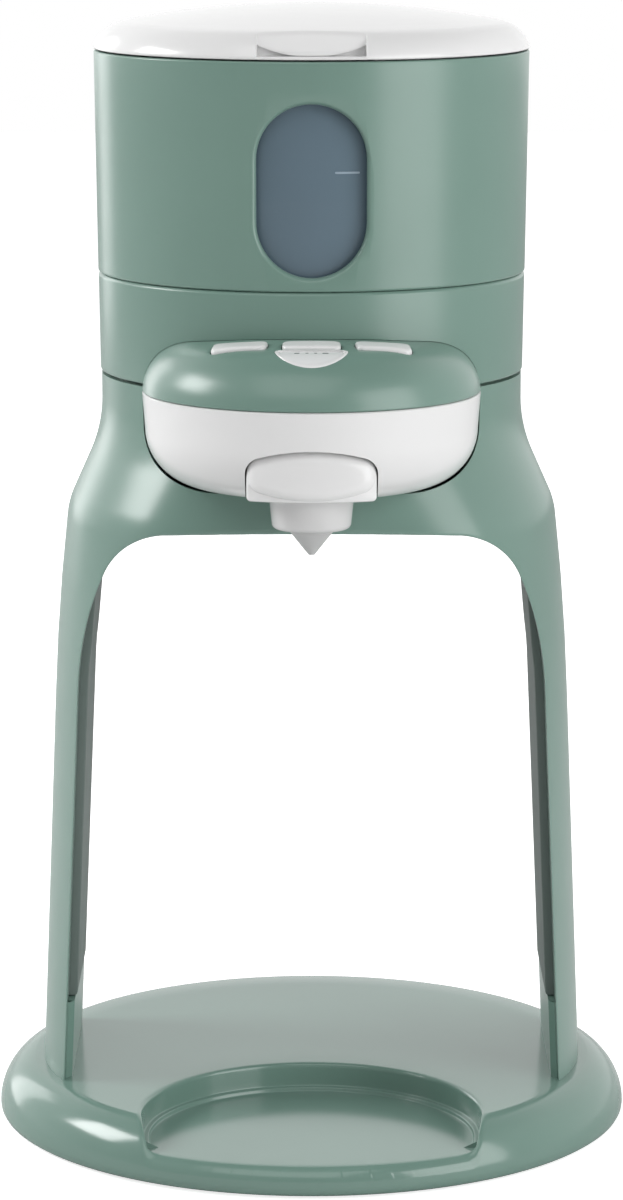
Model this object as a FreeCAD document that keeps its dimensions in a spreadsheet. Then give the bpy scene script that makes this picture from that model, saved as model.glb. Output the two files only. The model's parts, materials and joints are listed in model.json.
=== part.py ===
"""Baby formula maker: a countertop water dispenser on an arched stand.

Frame: millimetres, +Z up, -Y towards the user, +X to the user's right, origin at the
centre of the base's footprint. The stand, the housings and the tank are turned about the
Z axis; the control pod is turned about a vertical axis in front of it.
"""
import FreeCAD, Part
import math
import os
import Sketcher

doc = FreeCAD.newDocument("FormulaMaker")
sheet = doc.addObject("Spreadsheet::Sheet", "Dims")
parts = []


# ---------------------------------------------------------------- driving dimensions

class Size:
    """A length that carries its value and the spreadsheet expression that gives it."""

    def __init__(self, value, text):
        self.value = float(value)
        self.text = text

    def __add__(self, other):
        other = size(other)
        return Size(self.value + other.value, f"({self.text} + {other.text})")

    def __radd__(self, other):
        return size(other) + self

    def __sub__(self, other):
        other = size(other)
        return Size(self.value - other.value, f"({self.text} - {other.text})")

    def __rsub__(self, other):
        return size(other) - self

    def __mul__(self, factor):
        return Size(self.value * factor, f"({self.text} * {factor})")

    __rmul__ = __mul__

    def __neg__(self):
        return Size(-self.value, f"(0 - {self.text})")


def size(number):
    """A Size made of a plain number, or the Size itself."""
    return number if isinstance(number, Size) else Size(number, f"{number:.6g}")


def crown_radius(half_width, rise):
    """Radius of the sphere that spans half_width either side of its axis with a given rise."""
    value = (half_width.value ** 2 + rise.value ** 2) / (2 * rise.value)
    return Size(value, f"(({half_width.text}) ^ 2 + ({rise.text}) ^ 2) / (2 * ({rise.text}))")


def dim(alias, value):
    """Put one driving dimension in the sheet and return it as a Size."""
    dim.row += 1
    sheet.set(f"A{dim.row}", alias)
    sheet.set(f"B{dim.row}", str(value))
    sheet.setAlias(f"B{dim.row}", alias)
    return Size(value, f"Dims.{alias}")


dim.row = 0

# base
base_radius = dim("base_radius", 97.5)
rim_height = dim("rim_height", 3.4)
foot_radius = dim("foot_radius", 94.6)
base_bottom = dim("base_bottom", 0.8)
plateau_top = dim("plateau_top", 18)
plateau_radius = dim("plateau_radius", 86.3)
base_wall = dim("base_wall", 2.6)
recess_radius = dim("recess_radius", 50.7)
recess_front = dim("recess_front", 66.7)
recess_floor = dim("recess_floor", 9.5)
recess_lip = dim("recess_lip", 10.7)
lip_radius = dim("lip_radius", 93.2)
recess_ledge = dim("recess_ledge", 1.8)
plate_thickness = dim("plate_thickness", 2.2)
pad_radius = dim("pad_radius", 7)
pad_circle = dim("pad_circle", 80)

# stand
stand_wall = dim("stand_wall", 2.8)
neck_radius = dim("neck_radius", 63.9)
neck_start = dim("neck_start", 224.5)
stand_top = dim("stand_top", 233.4)
leg_foot_radius = dim("leg_foot_radius", 83.6)
arch_foot = dim("arch_foot", 75.7)
arch_spring = dim("arch_spring", 70.5)
arch_spring_height = dim("arch_spring_height", 139)
arch_haunch = dim("arch_haunch", 61.8)
arch_haunch_height = dim("arch_haunch_height", 177.4)
arch_shoulder = dim("arch_shoulder", 44)
arch_shoulder_height = dim("arch_shoulder_height", 191.5)
arch_crown = dim("arch_crown", 194.6)
arch_wall = dim("arch_wall", 2.6)
niche_front = dim("niche_front", 64.5)
leg_half_depth = dim("leg_half_depth", 26)
liner_bottom = dim("liner_bottom", 41)
liner_top = dim("liner_top", 169.5)
socket_top = dim("socket_top", 40)

# housings
housing_foot = dim("housing_foot", 233.8)
housing_seam = dim("housing_seam", 263.8)
housing_top = dim("housing_top", 329.2)
housing_foot_radius = dim("housing_foot_radius", 64.25)
seam_radius = dim("seam_radius", 64.75)
housing_top_radius = dim("housing_top_radius", 65.65)
housing_bore = dim("housing_bore", 62.4)
window_width = dim("window_width", 32)
window_height = dim("window_height", 50.2)
window_centre = dim("window_centre", 292.9)

# tank and lid
deck_top = dim("deck_top", 254.5)
deck_radius = dim("deck_radius", 62.2)
tank_bottom = dim("tank_bottom", 256.5)
tank_radius = dim("tank_radius", 61.2)
tank_wall = dim("tank_wall", 1.8)
flange_bottom = dim("flange_bottom", 329.4)
flange_top = dim("flange_top", 330.3)
flange_radius = dim("flange_radius", 64.6)
lid_bottom = dim("lid_bottom", 330.6)
lid_radius = dim("lid_radius", 65.8)
lid_edge = dim("lid_edge", 331.6)
lid_shoulder = dim("lid_shoulder", 57.1)
lid_shoulder_height = dim("lid_shoulder_height", 338.8)
lid_top = dim("lid_top", 344)
hinge_back = dim("hinge_back", 69)
hinge_height = dim("hinge_height", 332.3)
hinge_pin = dim("hinge_pin", 1.2)
knuckle_radius = dim("knuckle_radius", 2.8)

# control pod
pod_front = dim("pod_front", 45)
pod_radius = dim("pod_radius", 50)
pod_seam = dim("pod_seam", 232.8)
pod_bottom = dim("pod_bottom", 205.1)
pod_round = dim("pod_round", 17)
pod_wall = dim("pod_wall", 2.4)
cap_crown = dim("cap_crown", 251)
cap_shoulder = dim("cap_shoulder", 36)
cap_shoulder_height = dim("cap_shoulder_height", 248.2)
pod_back = dim("pod_back", 36)
board_height = dim("board_height", 236.5)
button_bottom = dim("button_bottom", 242.2)
button_width = dim("button_width", 16.1)
button_depth = dim("button_depth", 7.2)
button_proud = dim("button_proud", 0.95)
button_spacing = dim("button_spacing", 20.85)
button_front = dim("button_front", 71)
centre_button_front = dim("centre_button_front", 73.4)
display_radius = dim("display_radius", 9.5)
display_front = dim("display_front", 78.2)

# spout
spout_front = dim("spout_front", 77.5)
spout_width = dim("spout_width", 37.4)
spout_side = dim("spout_side", 6.8)
spout_corner = dim("spout_corner", 4.8)
spout_top = dim("spout_top", 221)
spout_bottom = dim("spout_bottom", 206.3)
spout_back = dim("spout_back", 56)
nozzle_radius = dim("nozzle_radius", 12.35)
nozzle_bottom = dim("nozzle_bottom", 197)
tip_radius = dim("tip_radius", 6.3)
tip_bottom = dim("tip_bottom", 189)
stub_height = dim("stub_height", 213)

# inside
chassis_top = dim("chassis_top", 209.5)
chassis_radius = dim("chassis_radius", 60)
tube_radius = dim("tube_radius", 3.2)


# ---------------------------------------------------------------- building blocks

def place(thing, x=0, y=0, z=0, axis=None, angle=0):
    """Bind an object's placement to the sheet."""
    turn = FreeCAD.Rotation(axis or FreeCAD.Vector(0, 0, 1), angle)
    x, y, z = size(x), size(y), size(z)
    thing.Placement = FreeCAD.Placement(FreeCAD.Vector(x.value, y.value, z.value), turn)
    for key, value in (("x", x), ("y", y), ("z", z)):
        thing.setExpression(f"Placement.Base.{key}", value.text)
    return thing


def box(name, low, high):
    """A block between two corners."""
    low = [size(value) for value in low]
    high = [size(value) for value in high]
    thing = doc.addObject("Part::Box", name)
    for key, near, far in zip(("Length", "Width", "Height"), low, high):
        setattr(thing, key, far.value - near.value)
        thing.setExpression(key, (far - near).text)
    return place(thing, *low)


ALONG = {"X": (FreeCAD.Vector(0, 1, 0), 90), "Y": (FreeCAD.Vector(1, 0, 0), -90), "Z": (None, 0)}


def rod(name, radius, length, x=0, y=0, z=0, along="Z"):
    """A cylinder from a point, along one axis."""
    thing = doc.addObject("Part::Cylinder", name)
    for key, value in (("Radius", size(radius)), ("Height", size(length))):
        setattr(thing, key, value.value)
        thing.setExpression(key, value.text)
    axis, angle = ALONG[along]
    return place(thing, x, y, z, axis, angle)


def joined(kind, name, pieces):
    """A boolean of several objects."""
    thing = doc.addObject(kind, name)
    thing.Shapes = pieces
    return thing


def fuse(name, *pieces):
    return joined("Part::MultiFuse", name, list(pieces))


def common(name, *pieces):
    return joined("Part::MultiCommon", name, list(pieces))


def cut(name, base, *tools):
    """The base less every tool."""
    for number, tool in enumerate(tools):
        thing = doc.addObject("Part::Cut", f"{name}_{number}" if tool is not tools[-1] else name)
        thing.Base = base
        thing.Tool = tool
        base = thing
    return base


def compound(name, pieces):
    thing = doc.addObject("Part::Compound", name)
    thing.Links = pieces
    return thing


def arc_between(start, end, bend):
    """The arc of radius |bend| from start to end, turning left when bend is positive."""
    middle = (start + end) * 0.5
    run = end - start
    reach = math.sqrt(max(bend ** 2 - (run.Length / 2) ** 2, 0))
    side = FreeCAD.Vector(-run.y, run.x, 0).normalize() * math.copysign(reach, bend)
    centre = middle + side
    first, last = (start, end) if bend > 0 else (end, start)
    angles = [math.atan2(point.y - centre.y, point.x - centre.x) for point in (first, last)]
    circle = Part.Circle(centre, FreeCAD.Vector(0, 0, 1), abs(bend))
    return Part.ArcOfCircle(circle, angles[0], angles[1])


def pin_down(sketch, item, corner, key, value):
    """Fix one coordinate of a sketch point, on the axis or at a bound distance."""
    if abs(value.value) < 1e-9:
        axis = -2 if key == "DistanceX" else -1
        sketch.addConstraint(Sketcher.Constraint("PointOnObject", item, corner, axis))
        return
    number = sketch.addConstraint(Sketcher.Constraint(key, -1, 1, item, corner, value.value))
    sketch.setExpression(f"Constraints[{number}]", value.text)


def outline(sketch, points):
    """Draw a closed outline: (x, y) ends a straight side, (x, y, radius) an arc.

    The side described by a point is the one that arrives at it; an arc turns left when its
    radius is positive.
    """
    points = [[size(value) for value in point] for point in points]
    ends = []
    for number, point in enumerate(points):
        start = FreeCAD.Vector(points[number - 1][0].value, points[number - 1][1].value, 0)
        end = FreeCAD.Vector(point[0].value, point[1].value, 0)
        if len(point) == 2:
            item = sketch.addGeometry(Part.LineSegment(start, end), False)
            ends.append((item, 1, 2))
        else:
            item = sketch.addGeometry(arc_between(start, end, point[2].value), False)
            ends.append((item, 1, 2) if point[2].value > 0 else (item, 2, 1))
    for number, (item, first, last) in enumerate(ends):
        before = ends[number - 1]
        sketch.addConstraint(Sketcher.Constraint("Coincident", before[0], before[2], item, first))
        pin_down(sketch, item, last, "DistanceX", points[number][0])
        pin_down(sketch, item, last, "DistanceY", points[number][1])
    for number, (item, first, last) in enumerate(ends):
        point = points[number]
        if len(point) == 3:
            radius = point[2] if point[2].value > 0 else -point[2]
            width = math.hypot(point[0].value - points[number - 1][0].value,
                               point[1].value - points[number - 1][1].value)
            if abs(width - 2 * radius.value) < 1e-6:
                pin_down(sketch, item, 3, "DistanceY", point[1])
                continue
            bound = sketch.addConstraint(Sketcher.Constraint("Radius", item, radius.value))
            sketch.setExpression(f"Constraints[{bound}]", radius.text)


def body_sketch(name, plane, points, height=0):
    """A body with one closed sketch on an origin plane, lifted along its normal."""
    body = doc.addObject("PartDesign::Body", name)
    sketch = body.newObject("Sketcher::SketchObject", f"{name}_outline")
    for feature in body.Origin.OriginFeatures:
        if feature.Role == plane:
            sketch.AttachmentSupport = [(feature, "")]
    sketch.MapMode = "FlatFace"
    height = size(height)
    if height.value:
        sketch.AttachmentOffset = FreeCAD.Placement(
            FreeCAD.Vector(0, 0, height.value), FreeCAD.Rotation())
        sketch.setExpression("AttachmentOffset.Base.z", height.text)
    outline(sketch, points)
    return body, sketch


def lathe(name, points, y=0, angle=360):
    """A body turned about a vertical axis at (0, y), from an outline of (radius, height)."""
    body, sketch = body_sketch(name, "XZ_Plane", points)
    turned = body.newObject("PartDesign::Revolution", f"{name}_turned")
    turned.Profile = sketch
    turned.ReferenceAxis = (sketch, ["V_Axis"])
    turned.Angle = angle
    place(body, 0, y, 0)
    return body


def slab(name, points, low, high):
    """A body with a plan outline, padded from one height to another."""
    body, sketch = body_sketch(name, "XY_Plane", points, low)
    pad = body.newObject("PartDesign::Pad", f"{name}_pad")
    pad.Profile = sketch
    thickness = size(high) - size(low)
    pad.Length = thickness.value
    pad.setExpression("Length", thickness.text)
    return body


def bar(name, points, depth, y=0):
    """A body with a front outline, padded half of depth each way from y along Y."""
    body, sketch = body_sketch(name, "XZ_Plane", points)
    pad = body.newObject("PartDesign::Pad", f"{name}_pad")
    pad.Profile = sketch
    pad.Midplane = True
    depth = size(depth)
    pad.Length = depth.value
    pad.setExpression("Length", depth.text)
    place(body, 0, y, 0)
    return body


def rounded_plan(half_width, half_depth, radius, x=0, y=0):
    """Points of a rectangle with round corners, about a centre."""
    right, left = x + half_width, x - half_width
    back, front = y + half_depth, y - half_depth
    return [(right - radius, front), (right, front + radius, radius), (right, back - radius),
            (right - radius, back, radius), (left + radius, back), (left, back - radius, radius),
            (left, front + radius), (left + radius, front, radius)]


def round_edges(name, base, radius, chosen):
    """Fillet the edges of an object that pass a test."""
    doc.recompute()
    numbers = [number for number, edge in enumerate(base.Shape.Edges, 1) if chosen(edge)]
    thing = doc.addObject("Part::Fillet", name)
    thing.Base = base
    thing.Edges = [(number, radius, radius) for number in numbers]
    return thing


def chamfer_edges(name, base, width, chosen):
    """Chamfer the edges of an object that pass a test."""
    doc.recompute()
    numbers = [number for number, edge in enumerate(base.Shape.Edges, 1) if chosen(edge)]
    thing = doc.addObject("Part::Chamfer", name)
    thing.Base = base
    thing.Edges = [(number, width, width) for number in numbers]
    return thing


def set_shape(name, shape):
    """A plain feature that holds a shape worked out from the sheet's sizes."""
    thing = doc.addObject("Part::Feature", name)
    thing.Shape = shape
    return thing


def part(node, thing):
    """Name a finished sub-part after its node."""
    thing.Label = node
    parts.append(thing)
    return thing


def around(count, radius, start=0):
    """Points spread evenly on a circle."""
    for number in range(count):
        angle = math.radians(start + 360 * number / count)
        yield radius * math.cos(angle), radius * math.sin(angle)


def screw(name, x, y, head_low, head_high, tip, head_radius=2.8, shank_radius=1.4):
    """A vertical pan-head screw; its head lies between two heights, its shank ends at tip."""
    head = rod(f"{name}_head", head_radius, size(head_high) - head_low, x, y, head_low)
    grip = 1
    if size(tip).value > size(head_high).value:
        shank = rod(f"{name}_shank", shank_radius, size(tip) - head_high + grip, x, y,
                    size(head_high) - grip)
    else:
        shank = rod(f"{name}_shank", shank_radius, size(head_low) - tip + grip, x, y, tip)
    return fuse(name, head, shank)


# ---------------------------------------------------------------- base

rim_middle = (base_radius - 3.9, rim_height + 10.42)
base_solid = lathe("base_solid", [
    (0, base_bottom), (foot_radius, base_bottom), (base_radius, rim_height, 2.65),
    (rim_middle[0], rim_middle[1], 15.9), (plateau_radius, plateau_top, 12.8),
    (0, plateau_top)])
base_hollow = lathe("base_hollow", [
    (0, -1), (foot_radius - base_wall, -1), (base_radius - base_wall, rim_height + 1.4),
    (rim_middle[0] - base_wall * 0.75, rim_middle[1] - base_wall * 0.65, 13.3),
    (plateau_radius - 1, plateau_top - base_wall, 10.2), (0, plateau_top - base_wall)])
recess_y = -recess_front
well = rod("well", recess_radius + base_wall, 20, 0, recess_y, recess_floor - base_wall)
well_inside = cut("well_inside", base_hollow, well)
recess = rod("recess", recess_radius - recess_ledge, 20, 0, recess_y, recess_floor)
recess_deep = common("recess_deep", recess, rod("lip_disc", lip_radius, 30))
mouth_round = 1.5
recess_open = lathe("recess_open", [
    (0, recess_lip), (recess_radius, recess_lip), (recess_radius, plateau_top - mouth_round),
    (recess_radius + mouth_round, plateau_top, -mouth_round),
    (recess_radius + mouth_round, plateau_top + 12), (0, plateau_top + 12)], recess_y)
boss_places = [(62 * math.cos(math.radians(a)), 62 * math.sin(math.radians(a)))
               for a in (20, 70, 110, 160, 215, 325)]
leg_places = [(side * 78.6, end * 14.0) for side in (-1, 1) for end in (-1, 1)]
boss_foot = base_bottom + 0.4 + plate_thickness
bosses = fuse("base_bosses", *[
    rod(f"base_boss_{n}", 3.6, plateau_top - 1 - boss_foot, x, y, boss_foot)
    for n, (x, y) in enumerate(boss_places)])
boss_bores = compound("base_bores", [
    rod(f"base_bore_{n}", 1.35, 8, x, y, boss_foot - 1) for n, (x, y) in enumerate(boss_places)]
    + [rod(f"leg_bore_{n}", 1.8, 12, x, y, 10) for n, (x, y) in enumerate(leg_places)])
gland_bore = rod("gland_bore", 3.1, 20, 0, 84, 8.5, "Y")
base_shell = cut("base_shell", base_solid, well_inside)
base_recessed = cut("base_recessed", fuse("base_with_bosses", base_shell, bosses),
                    recess_deep, recess_open, boss_bores, gland_bore)

part("base_top", base_recessed)

plate_round = rod("plate_round", foot_radius - base_wall - 0.5, plate_thickness,
                  0, 0, base_bottom + 0.4)
pad_pockets = compound("pad_pockets", [
    rod(f"pad_pocket_{n}", pad_radius + 0.2, 1, x, y, base_bottom + 0.2)
    for n, (x, y) in enumerate(around(4, pad_circle.value, 45))])
plate_holes = compound("plate_holes", [
    rod(f"plate_hole_{n}", 1.7, 8, x, y, -1) for n, (x, y) in enumerate(boss_places)])
plate_ribs = fuse("plate_ribs", *[
    box(f"plate_rib_{n}", (-56, y, base_bottom + 2), (56, y + 1.4, base_bottom + 5.4))
    for n, y in enumerate((14, 34, 52))])
plate_body = fuse("plate_body", plate_round, plate_ribs)
part("base_plate", cut("base_plate_part", plate_body, pad_pockets, plate_holes))

part("base_feet", compound("base_feet_part", [
    chamfer_edges(f"foot_{n}_edge",
                  rod(f"foot_{n}", pad_radius, base_bottom + 1.2, x, y, 0), 0.5,
                  lambda edge: edge.BoundBox.ZMax < 0.01)
    for n, (x, y) in enumerate(around(4, pad_circle.value, 45))]))

part("base_screws", compound("base_screws_part", [
    screw(f"base_screw_{n}", x, y, base_bottom - 0.6, base_bottom + 0.4, 9.5)
    for n, (x, y) in enumerate(boss_places)]))

part("leg_screws", compound("leg_screws_part", [
    screw(f"leg_screw_{n}", x, y, plateau_top - base_wall - 2.4, plateau_top - base_wall, 34)
    for n, (x, y) in enumerate(leg_places)]))

gland_hole = rod("gland_hole", 1.9, 14, 0, 86, 8.5, "Y")
gland_body = fuse("gland_body", rod("gland_neck", 3, 7, 0, 89.6, 8.5, "Y"),
                  rod("gland_flange", 4, 1.6, 0, 89.6, 8.5, "Y"))
part("cord_gland", cut("cord_gland_part", gland_body, gland_hole))


# ---------------------------------------------------------------- stand

def stand_profile(inset, low, high):
    """Section of the stand: straight flared legs, a round shoulder and a straight neck."""
    neck = neck_radius - inset
    return [(0, low), (leg_foot_radius - inset, low), (79 - inset, 133),
            (74.75 - inset, 189.5, 730 - inset), (72.6 - inset, 197, 24 - inset),
            (67.9 - inset, 207.5), (neck, neck_start, -(42 + inset)), (neck, high), (0, high)]


def arch_profile(outward, low, high_extra=0):
    """The arched opening seen from the front, grown outward by a distance."""
    foot = arch_foot + outward
    spring = arch_spring + outward
    haunch = (arch_haunch + outward * 0.92, arch_haunch_height + outward * 0.42)
    shoulder = (arch_shoulder + outward * 0.2, arch_shoulder_height + outward)
    crown = arch_crown + outward + high_extra
    return [(-foot, low), (foot, low), (spring, arch_spring_height),
            (haunch[0], haunch[1], 104 + outward), (shoulder[0], shoulder[1], 24.5 + outward),
            (0, crown, 300 + outward), (-shoulder[0], shoulder[1], 300 + outward),
            (-haunch[0], haunch[1], 24.5 + outward), (-spring, arch_spring_height, 104 + outward)]


through = 220
stand_solid = lathe("stand_solid", stand_profile(0, plateau_top, stand_top))
stand_inside = lathe("stand_inside", stand_profile(stand_wall, plateau_top - 1, stand_top + 1))
arch = bar("arch", arch_profile(0, plateau_top - 2), through)
arch_grown = bar("arch_grown", arch_profile(arch_wall, plateau_top - 1), through)
arch_skin = cut("arch_skin", common("arch_band", arch_grown, stand_solid), arch)
stand_skin = cut("stand_skin", stand_solid, stand_inside, arch)
leg_block = common("leg_block", stand_solid,
                   box("leg_block_box", (-100, -33, plateau_top), (100, 33, socket_top)))
socket_face = bar("socket_face", arch_profile(1.4, plateau_top - 3), leg_half_depth * 2)
leg_socket = cut("leg_socket", leg_block, arch, socket_face)
niche_wall = common("niche_wall", stand_solid,
                    box("niche_wall_box", (-60, -niche_front, 190), (60, -61.9, 206)))
bowl_gap = 0.9
pod_y = -pod_front


def pod_profile(grow, low, high):
    """Section of the pod's bowl, grown by a distance: flat bottom, big corner, near-upright side."""
    corner = pod_radius - 0.8 - pod_round
    return [(0, low - grow), (corner, low - grow), (pod_radius - 0.8 + grow, low + pod_round,
            pod_round + grow), (pod_radius + grow, high), (0, high)]


pod_passage = lathe("pod_passage", pod_profile(bowl_gap, pod_bottom, stand_top + 1), pod_y)
chassis_bottom = chassis_top - 2.5
ledge_ring = cut("ledge_ring", rod("ledge_outer", 72, 2.2, 0, 0, chassis_bottom - 2.2),
                 rod("ledge_inner", 56.5, 10, 0, 0, chassis_bottom - 6),
                 box("ledge_front", (-80, -90, 190), (80, -33, 215)))
chassis_ledge = common("chassis_ledge", ledge_ring, stand_solid)
stand_walls = fuse("stand_walls", stand_skin, arch_skin, leg_socket, chassis_ledge,
                   cut("niche_panel", niche_wall, arch))
niche_space = box("niche_space", (-60, -120, 180), (60, -niche_front, pod_bottom + 4))
lining_space = box("lining_space", (-90, -leg_half_depth, liner_bottom),
                   (90, leg_half_depth, liner_top))
lining_room = common("lining_room", lining_space,
                     bar("arch_reach", arch_profile(arch_wall + 0.4, plateau_top - 1), through))
ceiling_reach = lathe("ceiling_reach", stand_profile(12, 165, 215))
ceiling_room = common("ceiling_room", ceiling_reach,
                      bar("ceiling_band", arch_profile(arch_wall + 0.3, plateau_top - 1), through),
                      box("ceiling_box", (-70, -61.2, liner_top + 3), (70, 70, 205)))
leg_holes = compound("leg_holes", [
    rod(f"leg_hole_{n}", 1.25, 20, x, y, plateau_top - 1) for n, (x, y) in enumerate(leg_places)])
part("stand_shell", cut("stand_shell_part", stand_walls, pod_passage, niche_space,
                        lining_room, ceiling_room, leg_holes))

liner_gap = 0.3


def leg_liner(node, side):
    """Panel that closes a leg's inner side: it follows the arch, stands a little proud of the
    leg's front edge and leans further in towards the back."""
    low, high = liner_bottom - 14, liner_top - liner_gap
    lean = 2.3
    depth = leg_half_depth - liner_gap
    face = [(arch_foot - 0.5, low), (arch_foot + 4.4, low), (arch_spring + 4.4, arch_spring_height),
            (arch_haunch + 6.3, high, 108.4), (arch_haunch + 1.55, high),
            (arch_spring - 0.5, arch_spring_height, -103.5)]
    sketch = doc.addObject("Sketcher::SketchObject", f"{node}_face")
    points = [(size(p[0]) * side, *[size(v) for v in p[1:2]], *[size(v) * side for v in p[2:]])
              for p in face]
    outline(sketch, points)
    sketch.Placement = FreeCAD.Placement(
        FreeCAD.Vector(0, -depth.value, 0), FreeCAD.Rotation(FreeCAD.Vector(1, 0, 0), 90))
    sketch.setExpression("Placement.Base.y", (-depth).text)
    run = doc.addObject("Part::Extrusion", f"{node}_run")
    run.Base = sketch
    run.DirMode = "Custom"
    run.Dir = FreeCAD.Vector(-lean * side, 2 * depth.value, 0)
    run.LengthFwd = math.hypot(lean, 2 * depth.value)
    run.Solid = True
    inside = lathe(f"{node}_inside", stand_profile(stand_wall + liner_gap, plateau_top, 190))
    kept = common(f"{node}_kept", run, inside)
    wedge = doc.addObject("Part::Wedge", f"{node}_foot_cut")
    foot_front, foot_back = 9.5, 1.0
    wedge.Ymin, wedge.Ymax = 0, 60
    wedge.Xmin, wedge.X2min, wedge.Xmax, wedge.X2max = -100, -100, 100, 100
    wedge.Zmin, wedge.Zmax = 0, 14 + foot_front
    wedge.Z2min, wedge.Z2max = 0, 14 + foot_back
    place(wedge, 0, -30, low)
    return part(node, cut(f"{node}_part", kept, wedge))


leg_liner("leg_liner_left", -1)
leg_liner("leg_liner_right", 1)

panel_reach = lathe("panel_reach", stand_profile(12.25, 165, 215))
panel_over = lathe("panel_over", stand_profile(8, 165, 215))
panel_box = box("panel_box", (-70, -60.9, liner_top + 3.3), (70, 62, 205))
panel_band = cut("panel_band", bar("panel_outer", arch_profile(4.6, plateau_top - 1), through),
                 bar("panel_inner", arch_profile(0, plateau_top - 2), through + 4))
rim_band = cut("rim_band", bar("rim_outer", arch_profile(4.6, plateau_top - 1), through),
               bar("rim_inner", arch_profile(3, plateau_top - 2), through + 4))
post_places = [(28.0, 44.0), (40.0, -24.0), (-28.0, 44.0), (-40.0, -24.0)]
posts = fuse("panel_posts", *[
    rod(f"panel_post_{n}", 4, chassis_bottom - 194, x, y, 194)
    for n, (x, y) in enumerate(post_places)])
post_bores = compound("post_bores", [
    rod(f"post_bore_{n}", 1.25, 10, x, y, chassis_bottom - 9)
    for n, (x, y) in enumerate(post_places)])
panel_body = fuse("panel_body", common("panel_skin", panel_band, panel_reach, panel_box),
                  common("panel_rim", rim_band, panel_over, panel_box), posts)
part("ceiling_panel", cut("ceiling_panel_part", panel_body, post_bores))


# ---------------------------------------------------------------- housings

deck_bottom = deck_top - 2.4
lower_points = [
    (60.9, stand_top), (62.3, stand_top), (62.3, housing_foot),
    (neck_radius - 0.1, housing_foot), (housing_foot_radius, housing_foot + 0.5),
    (seam_radius - 0.1, housing_seam - 0.9), (seam_radius - 0.8, housing_seam - 0.15),
    (62.6, housing_seam - 0.15), (62.6, deck_bottom), (57.2, deck_bottom),
    (57.2, deck_bottom - 2.4), (61.6, deck_bottom - 6.4), (61.6, 238), (58.6, 236.5),
    (58.6, 228.5), (60.9, 228.5)]
lower_turned = lathe("lower_turned", lower_points)
deck_screw_places = [(58.8 * math.cos(math.radians(a)), 58.8 * math.sin(math.radians(a)))
                     for a in (10, 75, 105, 170)]
deck_screw_bores = compound("deck_screw_bores", [
    rod(f"deck_bore_{n}", 1.05, 12, x, y, deck_bottom - 9)
    for n, (x, y) in enumerate(deck_screw_places)])
cap_clear = 0.5


def cap_profile(grow, low):
    """Section of the pod's cover: crowned top and a round shoulder down to the seam."""
    shoulder = (cap_shoulder + grow * 0.16, cap_shoulder_height + grow)
    crown = cap_crown + grow
    return [(0, low), (pod_radius + grow, low), (shoulder[0], shoulder[1], 16.6 + grow),
            (0, crown, crown_radius(shoulder[0], crown - shoulder[1]))]


def pod_space_profile(grow):
    """Section of the whole pod, bowl and cover, grown by a distance."""
    bowl = pod_profile(grow, pod_bottom, pod_seam)[:4]
    return bowl + cap_profile(grow, pod_seam)[2:]


pod_space = lathe("pod_space", pod_space_profile(cap_clear), pod_y)
front_half = box("front_half", (-60, -120, 200), (60, -pod_back + 1, 260))
housing_opening = common("housing_opening", front_half, pod_space)
part("lower_housing", cut("lower_housing_part", lower_turned, housing_opening,
                          deck_screw_bores))

upper_points = [
    (61.3, 258), (62.45, 258), (62.45, housing_seam - 0.15), (63.2, housing_seam - 0.15),
    (63.2, housing_seam + 0.05), (seam_radius - 0.7, housing_seam + 0.05),
    (seam_radius, housing_seam + 0.75, 0.7), (housing_top_radius, housing_top - 0.4),
    (housing_top_radius - 0.4, housing_top), (housing_bore + 0.5, housing_top),
    (housing_bore, housing_seam + 3), (61.3, housing_seam + 1)]
upper_turned = lathe("upper_turned", upper_points)


def window_points(grow):
    """Stadium outline of the window, about its centre on the front of the housing."""
    half = window_width * 0.5 + grow
    top = window_centre + window_height * 0.5 + grow - half
    foot = window_centre - window_height * 0.5 - grow + half
    return [(half, top), (-half, top, half), (-half, foot), (half, foot, half)]


window_cut = bar("window_cut", window_points(0), 40, -60)
window_cone = doc.addObject("Part::Loft", "window_bevel")
bevel_rings = []
for ring, (grow, front) in enumerate(((0.0, 63.4), (1.5, 66.4))):
    loop = doc.addObject("Sketcher::SketchObject", f"window_ring_{ring}")
    outline(loop, window_points(grow))
    loop.Placement = FreeCAD.Placement(
        FreeCAD.Vector(0, -front, 0), FreeCAD.Rotation(FreeCAD.Vector(1, 0, 0), 90))
    bevel_rings.append(loop)
window_cone.Sections = bevel_rings
window_cone.Solid = True
window_cone.Ruled = True
part("upper_housing", cut("upper_housing_part", upper_turned, window_cut, window_cone))

# deck that carries the tank
deck_disc = rod("deck_disc", deck_radius, deck_top - deck_bottom, 0, 0, deck_bottom)
deck_cup = rod("deck_cup", 11, 9, 0, 0, 245)
deck_cup_inside = rod("deck_cup_inside", 8.6, 10, 0, 0, 247)
deck_nipple = rod("deck_nipple", 3.4, 5, 0, 0, 241)
deck_drain = rod("deck_drain", 2, 12, 0, 0, 240)
deck_shell = cut("deck_shell", fuse("deck_solid", deck_disc, deck_cup, deck_nipple),
                 deck_cup_inside, deck_drain)
pin_bridge = box("pin_bridge", (-9, -1, deck_bottom), (9, 1, deck_top))
pin_post = rod("pin_post", 1.5, 256 - deck_bottom, 0, 0, deck_bottom)
seat_ring = cut("seat_ring", rod("seat_ring_outer", 15.4, 1.4, 0, 0, deck_top - 0.2),
                rod("seat_ring_inner", 13.6, 4, 0, 0, deck_top - 1))
deck_holes = compound("deck_holes", [
    rod(f"deck_hole_{n}", 1.5, 6, x, y, deck_bottom - 2)
    for n, (x, y) in enumerate(deck_screw_places)])
part("tank_deck", cut("tank_deck_part", fuse("deck_body", deck_shell, pin_bridge, pin_post,
                                             seat_ring), deck_holes))
part("deck_screws", compound("deck_screws_part", [
    screw(f"deck_screw_{n}", x, y, deck_top, deck_top + 1.5, deck_bottom - 6, 2.4, 1.15)
    for n, (x, y) in enumerate(deck_screw_places)]))
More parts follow.
